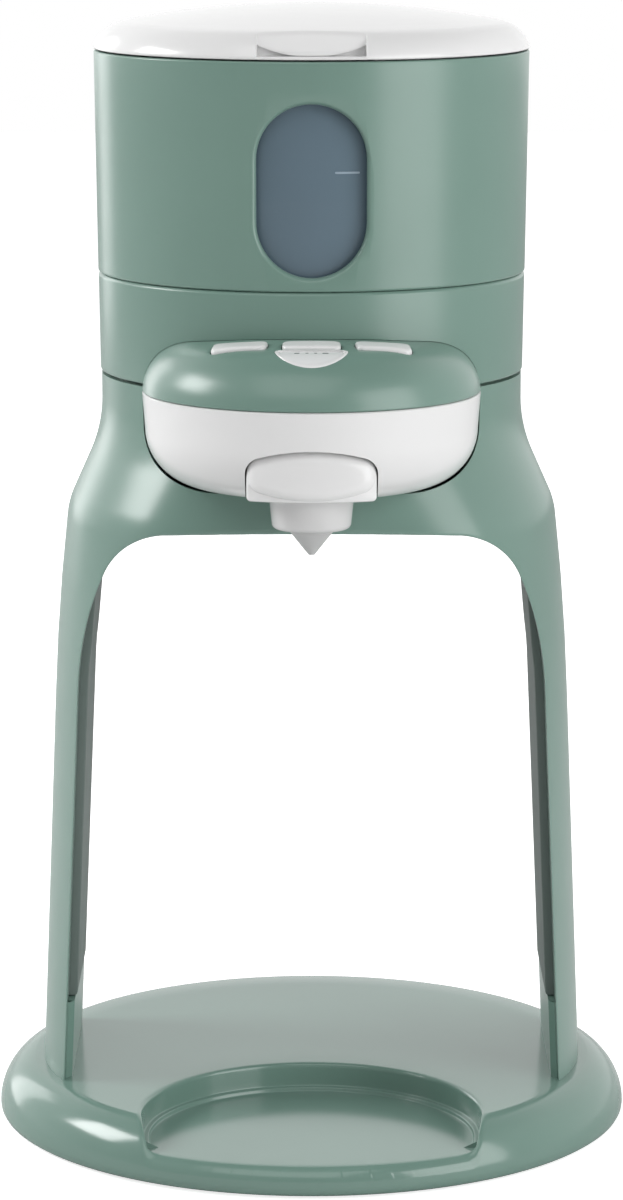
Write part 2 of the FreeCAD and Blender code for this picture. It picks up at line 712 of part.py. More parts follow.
part("seat_gasket", cut("seat_gasket_part", rod("gasket_disc", 13.4, 1.7, 0, 0, deck_top + 0.05),
                        rod("gasket_hole", 9.2, 4, 0, 0, deck_top - 1)))


# ---------------------------------------------------------------- tank and valve

tank_floor = tank_bottom + 2
tank_points = [
    (4, tank_bottom), (tank_radius - 1.9, tank_bottom), (tank_radius - 0.7, tank_bottom + 1.2, 1.2),
    (tank_radius, 290), (tank_radius, flange_bottom), (flange_radius, flange_bottom),
    (flange_radius, flange_top), (tank_radius - tank_wall, flange_top),
    (tank_radius - tank_wall, 290), (tank_radius - tank_wall - 0.7, tank_floor), (4, tank_floor)]
tank_turned = lathe("tank_turned", tank_points)
ear_spans = ((-14.0, -8.0), (8.0, 14.0))
ear_arms = [box(f"ear_arm_{n}", (low, 60.5, flange_bottom), (high, hinge_back, flange_top))
            for n, (low, high) in enumerate(ear_spans)]
ear_rings = [rod(f"ear_ring_{n}", knuckle_radius, high - low, low, hinge_back, hinge_height, "X")
             for n, (low, high) in enumerate(ear_spans)]
hinge_bore = rod("hinge_bore", hinge_pin, 40, -20, hinge_back, hinge_height, "X")
ear_clear = rod("ear_clear", tank_radius - tank_wall, 10, 0, 0, flange_bottom - 2)
part("water_tank", cut("water_tank_part", fuse("tank_body", tank_turned, *ear_arms, *ear_rings),
                       hinge_bore, ear_clear))
part("hinge_pin", rod("hinge_pin_part", hinge_pin, 28, -14, hinge_back, hinge_height, "X"))

valve_open = 3.1
part("valve_seal", cut("valve_seal_part",
                       rod("seal_disc", 6.6, 1.5, 0, 0, tank_floor + valve_open),
                       rod("seal_hole", 1.5, 5, 0, 0, tank_floor)))
stem_low = 256.2
plunger_stem = rod("plunger_stem", 1.5, 273.5 - stem_low, 0, 0, stem_low)
plunger_plate = rod("plunger_plate", 6, 1.2, 0, 0, tank_floor + valve_open + 1.5)
part("valve_plunger", fuse("valve_plunger_part", plunger_stem, plunger_plate))

cage_top = 272.6
cage_ring = cut("cage_ring", rod("cage_ring_outer", 9.6, 1.6, 0, 0, tank_floor),
                rod("cage_ring_inner", 7.6, 4, 0, 0, tank_floor - 1))
cage_roof = cut("cage_roof", rod("cage_roof_outer", 9.6, 1.4, 0, 0, cage_top - 1.4),
                rod("cage_roof_hole", 1.9, 4, 0, 0, cage_top - 3))
cage_posts = [rod(f"cage_post_{n}", 0.9, cage_top - tank_floor - 0.5, x, y, tank_floor)
              for n, (x, y) in enumerate(around(3, 8.5, 90))]
part("valve_cage", fuse("valve_cage_part", cage_ring, cage_roof, *cage_posts))


def coil(name, radius, wire, low, high, turns):
    """A compression spring wound about the Z axis, between two heights of its wire's centre."""
    radius, wire, low, high = size(radius), size(wire), size(low), size(high)
    body = doc.addObject("PartDesign::Body", name)
    sketch = body.newObject("Sketcher::SketchObject", f"{name}_wire")
    for feature in body.Origin.OriginFeatures:
        if feature.Role == "XZ_Plane":
            sketch.AttachmentSupport = [(feature, "")]
    sketch.MapMode = "FlatFace"
    centre = FreeCAD.Vector(radius.value, low.value, 0)
    ring = sketch.addGeometry(Part.Circle(centre, FreeCAD.Vector(0, 0, 1), wire.value), False)
    pin_down(sketch, ring, 3, "DistanceX", radius)
    pin_down(sketch, ring, 3, "DistanceY", low)
    bound = sketch.addConstraint(Sketcher.Constraint("Radius", ring, wire.value))
    sketch.setExpression(f"Constraints[{bound}]", wire.text)
    winding = body.newObject("PartDesign::AdditiveHelix", f"{name}_winding")
    winding.Profile = sketch
    winding.ReferenceAxis = (sketch, ["V_Axis"])
    winding.Mode = 2
    winding.Height = high.value - low.value
    winding.setExpression("Height", (high - low).text)
    winding.Turns = turns
    return body


spring_low = tank_floor + valve_open + 3.25
part("valve_spring", coil("valve_spring_part", 4.4, 0.45, spring_low, cage_top - 1.95, 4))


# ---------------------------------------------------------------- lid

def lid_profile(inset, low):
    """Section of the lid: a low dome with a round shoulder above a short upright edge."""
    edge = lid_radius - inset
    shoulder = (lid_shoulder - inset * 0.2, lid_shoulder_height - inset)
    crown = lid_top - inset
    return [(0, low), (edge, low), (edge, lid_edge - inset * 0.3),
            (shoulder[0], shoulder[1], 11.5 - inset),
            (0, crown, crown_radius(shoulder[0], crown - shoulder[1]))]


lid_wall = dim("lid_wall", 2.4)
lid_solid = lathe("lid_solid", lid_profile(0, lid_bottom))
lid_inside = lathe("lid_inside", lid_profile(lid_wall, lid_bottom - 1))
lid_hollow_core = rod("lid_hollow_core", 62.6, 30, 0, 0, lid_bottom - 5)
lid_hollow = common("lid_hollow", lid_inside, lid_hollow_core)
scoop_slope = 59
ledge_height = dim("ledge_height", 331.7)
notch_half = dim("notch_half", 15.8)
notch_back = dim("notch_back", 62)


def scoop_block(name, grow, half):
    """A leaning block over the notch: its underside, let down by a distance, is the slope."""
    lean = math.radians(scoop_slope)
    front = notch_back - grow * math.sin(lean)
    foot = ledge_height + 0.5 - grow * math.cos(lean)
    block = box(name, (0, 0, 0), (half * 2, 20, 30 + grow))
    return place(block, -half, -front, foot, FreeCAD.Vector(1, 0, 0), scoop_slope)


scoop_room = scoop_block("scoop_room", 0, notch_half)
scoop_skin = scoop_block("scoop_skin", 2, notch_half + 2)
notch_box = box("notch_box", (-notch_half, -80, ledge_height), (notch_half, -40, 350))
notch_room = cut("notch_room", notch_box, rod("notch_core", notch_back, 60, 0, 0, 310))
notch_skin_box = box("notch_skin_box", (-notch_half - 2, -80, 320), (notch_half + 2, -40, 350))
notch_skin = cut("notch_skin", notch_skin_box,
                 rod("notch_skin_core", notch_back - 2, 60, 0, 0, 310))
lid_walls = cut("lid_walls", lid_solid, cut("lid_room", lid_hollow, scoop_skin, notch_skin))
knuckle = fuse("lid_knuckle",
               rod("lid_ring", knuckle_radius, 15, -7.5, hinge_back, hinge_height, "X"),
               box("lid_arm", (-7.5, 63.4, hinge_height - 1.4),
                   (7.5, hinge_back, hinge_height + 1.4)))
pin_clearance = 0.05
lid_bore = rod("lid_bore", hinge_pin + pin_clearance, 40, -20, hinge_back, hinge_height, "X")
lid_skirt = cut("lid_skirt", rod("skirt_outer", lid_radius, 1.4, 0, 0, lid_bottom - 0.9),
                rod("skirt_inner", lid_radius - 1, 3, 0, 0, lid_bottom - 1.5),
                box("skirt_hinge_gap", (-15, 50, lid_bottom - 2), (15, 80, lid_bottom + 2)))
part("lid_cover", cut("lid_cover_part", fuse("lid_body", lid_walls, lid_skirt, knuckle),
                      scoop_room, notch_room, lid_bore))

liner_points = [
    (0, 328), (56.4, 328), (56.4, 326.8), (58.7, 326.8), (58.7, 327.6), (57.4, 327.6),
    (57.4, 329.6), (58.7, 329.6), (58.7, 330.4), (62.4, 330.4), (62.4, 331.8), (56.4, 331.8),
    (56.4, 329.6), (0, 329.6)]
liner_disc = lathe("liner_disc", liner_points)
liner_gap_cut = cut("liner_gap_cut", notch_skin_box,
                    rod("liner_core", notch_back - 2.3, 60, 0, 0, 310))
liner_over = common("liner_over", liner_gap_cut, box("liner_over_box", (-22, -80, 330.3),
                                                    (22, -40, 350)))
scoop_clear = scoop_block("scoop_clear", 2.3, notch_half + 2.3)
part("lid_liner", cut("lid_liner_part", liner_disc, liner_over, scoop_clear))
part("lid_gasket", cut("lid_gasket_part", rod("lid_gasket_outer", 59, 1.6, 0, 0, 327.8),
                       rod("lid_gasket_inner", 57.45, 4, 0, 0, 326)))


# ---------------------------------------------------------------- control pod

pod_cut_back = box("pod_cut_back", (-70, -pod_back, 190), (70, 90, 260))
bowl_outer = lathe("bowl_outer", pod_profile(0, pod_bottom, pod_seam - 0.1), pod_y)
bowl_lip = cut("bowl_lip", rod("bowl_lip_outer", pod_radius - pod_wall - 0.3, 5.2, 0, pod_y,
                               pod_seam - 4),
               rod("bowl_lip_inner", pod_radius - pod_wall - 1.6, 20, 0, pod_y, 220))
bowl_inner = lathe("bowl_inner", pod_profile(-pod_wall, pod_bottom, pod_seam + 1), pod_y)
slot_gap = 0.4
slot_half = spout_width * 0.5 + slot_gap
slot_wall = 2


def crown_over(half, side, corner):
    """Radius and right-hand end of a flat crown that meets round corners of an outline.

    The corners end at half from the middle, a side's height below the crown's top.
    """
    reach, drop = half.value - corner.value, side.value
    value = (reach ** 2 + drop ** 2 - corner.value ** 2) / (2 * (drop - corner.value))
    h, d, c = half.text, side.text, corner.text
    radius = Size(value, f"((({h} - {c}) ^ 2 + ({d}) ^ 2 - ({c}) ^ 2) / (2 * ({d} - {c})))")
    share = value / (value - corner.value)
    r = radius.text
    end = Size(reach * share, f"(({h} - {c}) * {r} / ({r} - {c}))")
    below = value - (value - drop) * share
    fall = Size(below, f"({r} - ({r} - {d}) * {r} / ({r} - {c}))")
    return radius, end, fall


def tab_points(half, low, high, side, corner, foot):
    """Front outline of the spout's slot: a flat crowned top and small foot corners."""
    half, side, corner = size(half), size(side), size(corner)
    radius, end, fall = crown_over(half, side, corner)
    return [(half - foot, low), (half, low + foot, foot), (half, high - side),
            (end, high - fall, corner), (-end, high - fall, radius),
            (-half, high - side, corner), (-half, low + foot), (-half + foot, low, foot)]


def oval_points(half, low, high, side, corner):
    """Front outline of the spout's finger pad: crowned above and below alike."""
    half, side, corner = size(half), size(side), size(corner)
    radius, end, fall = crown_over(half, side, corner)
    return [(-end, low + fall, corner), (end, low + fall, radius), (half, low + side, corner),
            (half, high - side), (end, high - fall, corner), (-end, high - fall, radius),
            (-half, high - side, corner), (-half, low + side)]


slot_walls = common("slot_walls", bowl_outer,
                    bar("slot_wall_bar", tab_points(
                        slot_half + slot_wall, pod_bottom - 6, spout_top + slot_gap + slot_wall,
                        spout_side + slot_gap + slot_wall, spout_corner + slot_gap + slot_wall,
                        2), 49.4, -78.3))
slot = bar("slot", tab_points(slot_half, pod_bottom - 8, spout_top + slot_gap,
                              spout_side + slot_gap, spout_corner + slot_gap, 2), 50,
           -(spout_back - 0.4) - 25)
socket_pass = rod("socket_pass", 5.8, 10, 0, -60, stub_height, "Y")
board_posts = fuse("board_posts", *[
    rod(f"board_post_{n}", 2.2, board_height - 206.5, x, y, 206.5)
    for n, (x, y) in enumerate(((-26, -68.0), (26, -68.0), (-26, -54.0), (26, -54.0)))])
bowl_shell = fuse("bowl_shell", cut("bowl_skin", bowl_outer, bowl_inner), bowl_lip, slot_walls,
                  board_posts)
part("pod_bowl", cut("pod_bowl_part", bowl_shell, slot, socket_pass, pod_cut_back))

cap_outer = lathe("cap_outer", cap_profile(0, pod_seam), pod_y)
cap_inner = lathe("cap_inner", cap_profile(-pod_wall, pod_seam - 1), pod_y)
button_gap = 0.35
button_turn = 8
centre_extra = 0.4
button_places = [("left", -button_spacing, button_front, 0, -button_turn),
                 ("centre", size(0), centre_button_front, centre_extra, 0),
                 ("right", button_spacing, button_front, 0, button_turn)]


def button_slab(name, where, grow, low, high):
    """A key's plan, grown by a distance and turned to follow the pod's front."""
    side, x, front, extra, turn = where
    plan = rounded_plan(button_width * 0.5 + extra + grow, button_depth * 0.5 + grow, 2.2 + grow)
    body = slab(f"{name}_{side}", plan, low, high)
    return place(body, x, -front, 0, None, turn)


button_holes = [button_slab("button_hole", where, button_gap, 230, 260)
                for where in button_places]


def half_disc(grow, back):
    """Display's plan, grown all round and at its flat back: a half disc, flat side behind."""
    radius = display_radius + grow
    chord = -display_front + back
    start = -display_front - 1.2
    return [(-radius + 1.2, chord), (-radius, start, 1.4),
            (radius, start, radius + 0.1), (radius - 1.2, chord, 1.4)]


display_hole = slab("display_hole", half_disc(1.15, 0.55), 230, 260)
part("pod_cap", cut("pod_cap_part", cut("cap_skin", cap_outer, cap_inner), *button_holes,
                    display_hole, pod_cut_back))

cap_flush = lathe("cap_flush", cap_profile(0.1, pod_seam), pod_y)
part("display_lens", common("display_lens_part", cap_flush,
                            slab("lens_plan", half_disc(0, 0), 240, 260)))
bezel_ring = cut("bezel_ring",
                 slab("bezel_plan", half_disc(1.05, 0.45), 240.6, 260),
                 slab("bezel_hole", half_disc(0.1, 0.1), 230, 270))
part("display_bezel", common("display_bezel_part", bezel_ring,
                             lathe("cap_proud", cap_profile(0.3, pod_seam), pod_y)))

button_dome = lathe("button_dome", cap_profile(button_proud.value, pod_seam), pod_y)
for where in button_places:
    key_plan = button_slab("key_plan", where, 0, button_bottom, 260)
    part(f"button_{where[0]}", common(f"key_{where[0]}", button_dome, key_plan))

board_top = board_height + 1.6
part("control_board", slab("control_board_part", rounded_plan(30, 13, 2, 0, -63.2),
                           board_height, board_top))
part("button_switches", compound("button_switches_part", [
    fuse(f"switch_{side}", box(f"switch_case_{side}", (x - 3, -front - 3, board_top),
                               (x + 3, -front + 3, board_top + 2.2)),
         rod(f"switch_stem_{side}", 1.6, 1, x, -front, board_top + 2.2))
    for side, x, front, extra, turn in button_places]))


# ---------------------------------------------------------------- spout

nozzle_y = -spout_front
skirt_block = bar("skirt_block", tab_points(spout_width * 0.5, spout_bottom, spout_top - 1,
                                            spout_side, spout_corner, 1.2), 40,
                  -(spout_back + 20))
pad_block = bar("pad_block", oval_points(spout_width * 0.5, spout_bottom + 0.3, spout_top,
                                         spout_side, spout_corner), 40, -(spout_back + 20))
pad_reach, skirt_reach = 48.9, 47.3
skirt_nose = common("skirt_nose", skirt_block, rod("skirt_face", skirt_reach, 40, 0, pod_y, 195))
pad_nose = common("pad_nose", pad_block, rod("pad_face", pad_reach, 40, 0, pod_y, 195))


def front_edge(reach):
    """A test for the edges of a front face that is curved about the pod's axis."""
    def on_front(edge):
        middle = edge.valueAt((edge.FirstParameter + edge.LastParameter) / 2)
        distance = math.hypot(middle.x, middle.y + pod_front.value)
        return distance > reach - 0.1 and edge.BoundBox.YMax < -83
    return on_front


carrier_soft = fuse("carrier_soft",
                    round_edges("skirt_soft", skirt_nose, 0.8, front_edge(skirt_reach)),
                    round_edges("pad_soft", pad_nose, 1.8, front_edge(pad_reach)))
stub = rod("stub", 3, 6.4, 0, -(spout_back + 0.4), stub_height, "Y")
carrier_duct = rod("carrier_duct", 1.6, 40, 0, nozzle_y, stub_height, "Y")
carrier_drop = rod("carrier_drop", 1.6, 12, 0, nozzle_y, spout_bottom - 3)
part("spout_carrier", cut("spout_carrier_part", fuse("carrier_body", carrier_soft, stub),
                          carrier_duct, carrier_drop))
nozzle_points = [
    (4, nozzle_bottom), (nozzle_radius - 2.4, nozzle_bottom),
    (nozzle_radius - 0.8, nozzle_bottom + 1.6, 1.6), (nozzle_radius, spout_bottom),
    (nozzle_radius - 2, spout_bottom), (nozzle_radius - 2.6, nozzle_bottom + 2),
    (4, nozzle_bottom + 2)]
part("nozzle", lathe("nozzle_part", nozzle_points, nozzle_y))
tip_points = [
    (0.7, tip_bottom), (0.9, tip_bottom), (tip_radius, nozzle_bottom - 1),
    (tip_radius, nozzle_bottom - 0.1), (3.8, nozzle_bottom - 0.1), (3.8, nozzle_bottom + 2.1),
    (5.4, nozzle_bottom + 2.1), (5.4, nozzle_bottom + 3.4), (2.2, nozzle_bottom + 3.4),
    (0.7, tip_bottom + 3)]
part("nozzle_tip", lathe("nozzle_tip_part", tip_points, nozzle_y))
seal_ring = doc.addObject("Part::Torus", "spout_seal_part")
seal_ring.Radius1 = 3.55
seal_ring.Radius2 = 0.5
place(seal_ring, 0, -(spout_back - 3.6), stub_height, FreeCAD.Vector(1, 0, 0), 90)
part("spout_seal", seal_ring)
outlet_cup = cut("outlet_cup", rod("cup_outer", 5.4, 10, 0, -(spout_back - 0.8), stub_height, "Y"),
                 rod("cup_inner", 4.3, 7.2, 0, -(spout_back - 0.4), stub_height, "Y"))
cup_foot = box("cup_foot", (-3, -52, pod_bottom + pod_wall), (3, -46, stub_height - 4.5))
part("outlet_socket", cut("outlet_socket_part", fuse("cup_body", outlet_cup, cup_foot),
                          rod("cup_duct", 1.6, 20, 0, -52, stub_height, "Y")))


# ---------------------------------------------------------------- inside the shoulder

chassis_round = rod("chassis_round", chassis_radius, 2.5, 0, 0, chassis_bottom)
chassis_front = box("chassis_front", (-70, -80, 200), (70, -33, 215))
chassis_holes = compound("chassis_holes", [
    rod(f"chassis_hole_{n}", 1.7, 8, x, y, chassis_bottom - 3)
    for n, (x, y) in enumerate(post_places)])
standoffs = fuse("standoffs", *[
    rod(f"standoff_{n}", 2, 3, x, y, chassis_top - 0.5)
    for n, (x, y) in enumerate(((12, 34), (46, 34), (12, 8), (46, 8)))])
pump_cradle = box("pump_cradle", (-44, -1, chassis_top - 0.5), (-12, 31, chassis_top + 2))
heater_saddles = fuse("heater_saddles", *[
    box(f"heater_saddle_{n}", (x, -28, chassis_top - 0.5), (x + 3, -6, chassis_top + 6))
    for n, x in enumerate((-22, 19))])
heater_z = chassis_top + 13.5
heater_room = rod("heater_room", 11.05, 80, -40, -17, heater_z, "X")
chassis_body = fuse("chassis_body", chassis_round, standoffs, pump_cradle, heater_saddles)
part("chassis", cut("chassis_part", chassis_body, chassis_front, chassis_holes, heater_room))
part("chassis_screws", compound("chassis_screws_part", [
    screw(f"chassis_screw_{n}", x, y, chassis_top, chassis_top + 1.8, chassis_bottom - 7)
    for n, (x, y) in enumerate(post_places)]))

heater_coat = rod("heater_coat", 11, 48, -24, -17, heater_z, "X")
heater_ends = [rod(f"heater_end_{n}", 3.4, 7, x, -17, heater_z, "X")
               for n, x in enumerate((-31, 24))]
part("heater", fuse("heater_part", heater_coat, *heater_ends))
part("heat_sensor", fuse("heat_sensor_part",
                         box("sensor_clip", (-4, -21, heater_z + 11), (4, -13, heater_z + 12.4)),
                         rod("sensor_can", 3, 3.4, 0, -17, heater_z + 12.4)))
pump_base = chassis_top + 2
pump_head = box("pump_head", (-40, 3, pump_base), (-16, 27, pump_base + 13))
pump_motor = rod("pump_motor", 10.5, 14, -28, 15, pump_base + 13)
pump_ports = [rod("pump_inlet", 3.4, 7, -16, 20, pump_base + 7, "X"),
              rod("pump_outlet", 3.4, 7, -47, 10, heater_z, "X")]
part("pump", fuse("pump_part", pump_head, pump_motor, *pump_ports))
part("power_board", slab("power_board_part", rounded_plan(22, 18, 3, 27.5, 20.5),
                         chassis_top + 2.5, chassis_top + 4.1))
transformer_low = chassis_top + 4.1
part("power_parts", compound("power_parts_part", [
    box("transformer", (30, 12, transformer_low), (46, 28, transformer_low + 14)),
    rod("capacitor", 5, 14, 18, 30, transformer_low),
    box("relay", (12, 6, transformer_low), (24, 20, transformer_low + 10))]))


def tube(name, points, bend, radius, bore):
    """A hose along straight runs joined by tangent arcs of one radius."""
    points = [FreeCAD.Vector(*point) for point in points]
    edges = []
    start = points[0]
    for before, corner, after in zip(points, points[1:], points[2:]):
        inward = (before - corner).normalize()
        outward = (after - corner).normalize()
        half = inward.getAngle(outward) / 2
        setback = bend / math.tan(half)
        first = corner + inward * setback
        last = corner + outward * setback
        middle_way = (inward + outward).normalize()
        middle = corner + middle_way * (bend / math.sin(half) - bend)
        if (first - start).Length > 1e-6:
            edges.append(Part.LineSegment(start, first).toShape())
        edges.append(Part.Arc(first, middle, last).toShape())
        start = last
    edges.append(Part.LineSegment(start, points[-1]).toShape())
    spine = Part.Wire(edges)
    heading = points[1] - points[0]
    solids = []
    for section_radius in (radius, bore):
        ring = Part.Wire(Part.Circle(points[0], heading, section_radius).toShape())
        solids.append(spine.makePipeShell([ring], True, True))
    return set_shape(name, solids[0].cut(solids[1]))


hose = tube_radius.value
hose_bore = hose - 1.2
pump_z = (pump_base + 7).value
hot_z = heater_z.value
part("inlet_hose", tube("inlet_hose_part", [
    (0, 0, 240.9), (0, 0, 232), (0, 20, 226), (0, 20, pump_z), (-8.8, 20, pump_z)],
    4, hose, hose_bore))
part("feed_hose", tube("feed_hose_part", [
    (-47.1, 10, hot_z), (-52, 10, hot_z), (-52, -17, hot_z), (-31.1, -17, hot_z)],
    4, hose, hose_bore))
outlet_z = stub_height.value
part("outlet_hose", tube("outlet_hose_part", [
    (31.1, -17, hot_z), (40, -17, hot_z), (40, -30, hot_z - 3), (14, -36, outlet_z),
    (0, -36, outlet_z), (0, -45.1, outlet_z)], 5, hose, hose_bore))


# ---------------------------------------------------------------- checking and writing

doc.recompute()
for thing in doc.Objects:
    if "Invalid" in thing.State or "Error" in thing.State:
        raise RuntimeError(f"{thing.Label} did not rebuild: {thing.State}")
for thing in parts:
    if thing.Shape.isNull() or not thing.Shape.isValid() or not thing.Shape.Solids:
        raise RuntimeError(f"{thing.Label} has no valid solid")

os.makedirs("parts", exist_ok=True)
for thing in parts:
    thing.Shape.exportStep(f"parts/{thing.Label}.step")
print(f"{len(parts)} sub-parts written")
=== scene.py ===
"""Looks of the baby formula maker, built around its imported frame.

Shapes are written in millimetres, in the frame's own axes: +Z up, -Y towards the user.
Lamps and the camera are placed in metres.
"""

import json
import math

import bmesh
import bpy
from mathutils import Matrix, Vector


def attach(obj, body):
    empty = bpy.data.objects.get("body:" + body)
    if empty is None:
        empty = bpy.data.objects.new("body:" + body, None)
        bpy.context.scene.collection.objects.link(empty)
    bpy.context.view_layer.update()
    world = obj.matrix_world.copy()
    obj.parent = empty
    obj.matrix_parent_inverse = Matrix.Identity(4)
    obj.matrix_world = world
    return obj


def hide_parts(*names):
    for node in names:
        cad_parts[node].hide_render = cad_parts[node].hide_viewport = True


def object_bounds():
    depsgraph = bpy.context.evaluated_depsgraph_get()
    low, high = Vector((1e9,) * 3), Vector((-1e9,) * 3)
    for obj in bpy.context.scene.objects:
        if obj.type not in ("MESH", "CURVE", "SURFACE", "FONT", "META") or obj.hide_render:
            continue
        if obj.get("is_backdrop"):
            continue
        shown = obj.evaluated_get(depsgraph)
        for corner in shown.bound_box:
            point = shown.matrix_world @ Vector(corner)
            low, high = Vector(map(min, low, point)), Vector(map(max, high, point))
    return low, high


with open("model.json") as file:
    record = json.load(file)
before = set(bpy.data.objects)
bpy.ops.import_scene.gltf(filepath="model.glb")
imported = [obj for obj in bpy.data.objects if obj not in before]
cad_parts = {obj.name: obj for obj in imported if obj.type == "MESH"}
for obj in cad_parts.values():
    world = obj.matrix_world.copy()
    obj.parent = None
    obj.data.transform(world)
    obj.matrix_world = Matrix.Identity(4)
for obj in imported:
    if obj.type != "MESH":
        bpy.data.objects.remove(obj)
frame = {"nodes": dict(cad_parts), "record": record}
cad_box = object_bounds()
nodes = frame["nodes"]

MM = 0.001
TURN_STEPS = 288
POD_STEPS = 192
SHARP_TURN = math.radians(25)
CORNER_STEPS = 4
SMOOTH_ANGLE = 32


# ---------------------------------------------------------------- outlines

def bow(start, end, bend, turn):
    """Points after start up to end on an arc of radius |bend|, turning left if it is positive."""
    run = end - start
    reach = math.sqrt(max(bend ** 2 - (run.length / 2) ** 2, 0))
    side = Vector((-run.y, run.x)).normalized() * math.copysign(reach, bend)
    centre = (start + end) / 2 + side
    first = math.atan2(start.y - centre.y, start.x - centre.x)
    last = math.atan2(end.y - centre.y, end.x - centre.x)
    sweep = (last - first) % math.tau
    if bend < 0:
        sweep -= math.tau
    count = max(2, math.ceil(math.degrees(abs(sweep)) / turn))
    for number in range(1, count + 1):
        angle = first + sweep * number / count
        yield centre + Vector((math.cos(angle), math.sin(angle))) * abs(bend)


def trace(points, turn=4):
    """A dense line: (x, y) ends a straight run, (x, y, radius) an arc."""
    line = [Vector(points[0][:2])]
    for point in points[1:]:
        end = Vector(point[:2])
        if len(point) == 3:
            line.extend(bow(line[-1], end, point[2], turn))
        else:
            line.append(end)
    return line


def curve(start, control, end, steps):
    """Points of a quadratic curve, both ends included."""
    shares = [number / steps for number in range(steps + 1)]
    return [start * (1 - t) ** 2 + control * 2 * t * (1 - t) + end * t ** 2 for t in shares]


def soften(line, radius, closed=True):
    """Round the corners of a line that turn by more than the sharp angle."""
    soft = []
    for number, corner in enumerate(line):
        before, after = line[number - 1], line[(number + 1) % len(line)]
        arriving, leaving = corner - before, after - corner
        ends = not closed and number in (0, len(line) - 1)
        if ends or min(arriving.length, leaving.length) < 1e-6:
            soft.append(corner)
            continue
        if arriving.angle(leaving) < SHARP_TURN:
            soft.append(corner)
            continue
        reach = min(radius, arriving.length * 0.45, leaving.length * 0.45)
        near = corner - arriving.normalized() * reach
        far = corner + leaving.normalized() * reach
        soft.extend(curve(near, corner, far, CORNER_STEPS))
    return soft


def inset_line(line, distance):
    """A closed anticlockwise line moved inward along its normals."""
    moved = []
    for number, point in enumerate(line):
        along = line[(number + 1) % len(line)] - line[number - 1]
        inward = Vector((-along.y, along.x)).normalized()
        moved.append(point + inward * distance)
    return moved


def height_on(line, x):
    """Second coordinate of a line at a given first coordinate."""
    for start, end in zip(line, line[1:]):
        low, high = sorted((start.x, end.x))
        if low <= x <= high and high > low:
            return start.y + (end.y - start.y) * (x - start.x) / (end.x - start.x)
    nearest = min((line[0], line[-1]), key=lambda point: abs(point.x - x))
    return nearest.y


def place_at(line, z):
    """First coordinate of a line at a given second coordinate."""
    return height_on([Vector((point.y, point.x)) for point in line], z)


def even(line, spacing):
    """The same line with long runs divided."""
    fine = [line[0]]
    for end in line[1:]:
        start = fine[-1]
        count = max(1, round((end - start).length / spacing))
        fine.extend(start.lerp(end, number / count) for number in range(1, count + 1))
    return fine


def run_to(line, number):
    """Length of a line up to one of its points."""
    return sum((end - start).length for start, end in zip(line, line[1:number + 1]))


def walk(line, far):
    """Point of a line at a distance along it."""
    for start, end in zip(line, line[1:]):
        length = (end - start).length
        if far <= length and length > 0:
            return start.lerp(end, far / length)
        far -= length
    return line[-1]


def last_run(line, holds):
    """How far a line can be followed while a condition holds for its points."""
    low, high = 0.0, run_to(line, len(line) - 1)
    halvings = 30
    for _ in range(halvings):
        middle = (low + high) / 2
        if holds(walk(line, middle)):
            low = middle
        else:
            high = middle
    return low


def smoother(low, high, value):
    """Smooth step from 0 at low to 1 at high."""
    t = min(max((value - low) / (high - low), 0), 1)
    return t * t * (3 - 2 * t)


def softest(a, b, width):
    """The lower of two values, blended where they are nearer than width."""
    blend = max(width - abs(a - b), 0) / width
    return min(a, b) - blend * blend * width / 4


def rounded_drop(inside, radius):
    """How far an edge's rounding lies below its corner, at a distance inside the edge."""
    if inside >= radius:
        return 0.0
    return radius - math.sqrt(radius ** 2 - (radius - max(inside, 0)) ** 2)


# ---------------------------------------------------------------- meshes

def solid(name, points, faces, angle=SMOOTH_ANGLE):
    """A mesh object from points in millimetres, smooth but for its sharp edges."""
    mesh = bpy.data.meshes.new(name)
    mesh.from_pydata([Vector(point) * MM for point in points], [], faces)
    piece = bpy.data.objects.new(name, mesh)
    bpy.context.scene.collection.objects.link(piece)
    tidy(piece, angle)
    return piece


def tidy(piece, angle=SMOOTH_ANGLE):
    """Merge doubled points, face every side outward and shade smoothly."""
    work = bmesh.new()
    work.from_mesh(piece.data)
    bmesh.ops.remove_doubles(work, verts=work.verts, dist=1e-7)
    bmesh.ops.dissolve_degenerate(work, edges=work.edges, dist=1e-8)
    bmesh.ops.recalc_face_normals(work, faces=work.faces)
    work.to_mesh(piece.data)
    work.free()
    piece.data.shade_smooth()
    piece.data.set_sharp_from_angle(angle=math.radians(angle))


def carve(piece, tool, how="DIFFERENCE"):
    """Cut a tool out of a piece, join it on, or keep what they share; the tool is used up."""
    step = piece.modifiers.new("carve", "BOOLEAN")
    step.object = tool
    step.operation = how
    step.solver = "EXACT"
    graph = bpy.context.evaluated_depsgraph_get()
    mesh = bpy.data.meshes.new_from_object(piece.evaluated_get(graph))
    piece.modifiers.clear()
    piece.data = mesh
    tidy(piece)
    bpy.data.objects.remove(tool)


def true_faces(faces):
    """Faces with doubled corners merged, less those that shrink to a line."""
    merged = [list(dict.fromkeys(face)) for face in faces]
    return [face for face in merged if len(face) > 2]


def turned(name, line, y=0, steps=TURN_STEPS):
    """A closed line of (radius, height) turned about a vertical axis at (0, y)."""
    points, rings = [], []
    for spot in line:
        if abs(spot.x) < 1e-6:
            points.append((0, y, spot.y))
            rings.append([len(points) - 1] * steps)
            continue
        ring = []
        for number in range(steps):
            angle = math.radians(360 * number / steps)
            points.append((spot.x * math.cos(angle), y + spot.x * math.sin(angle), spot.y))
            ring.append(len(points) - 1)
        rings.append(ring)
    faces = []
    for one, two in zip(rings, rings[1:] + rings[:1]):
        for number in range(steps):
            after = (number + 1) % steps
            faces.append([one[number], one[after], two[after], two[number]])
    return solid(name, points, true_faces(faces))


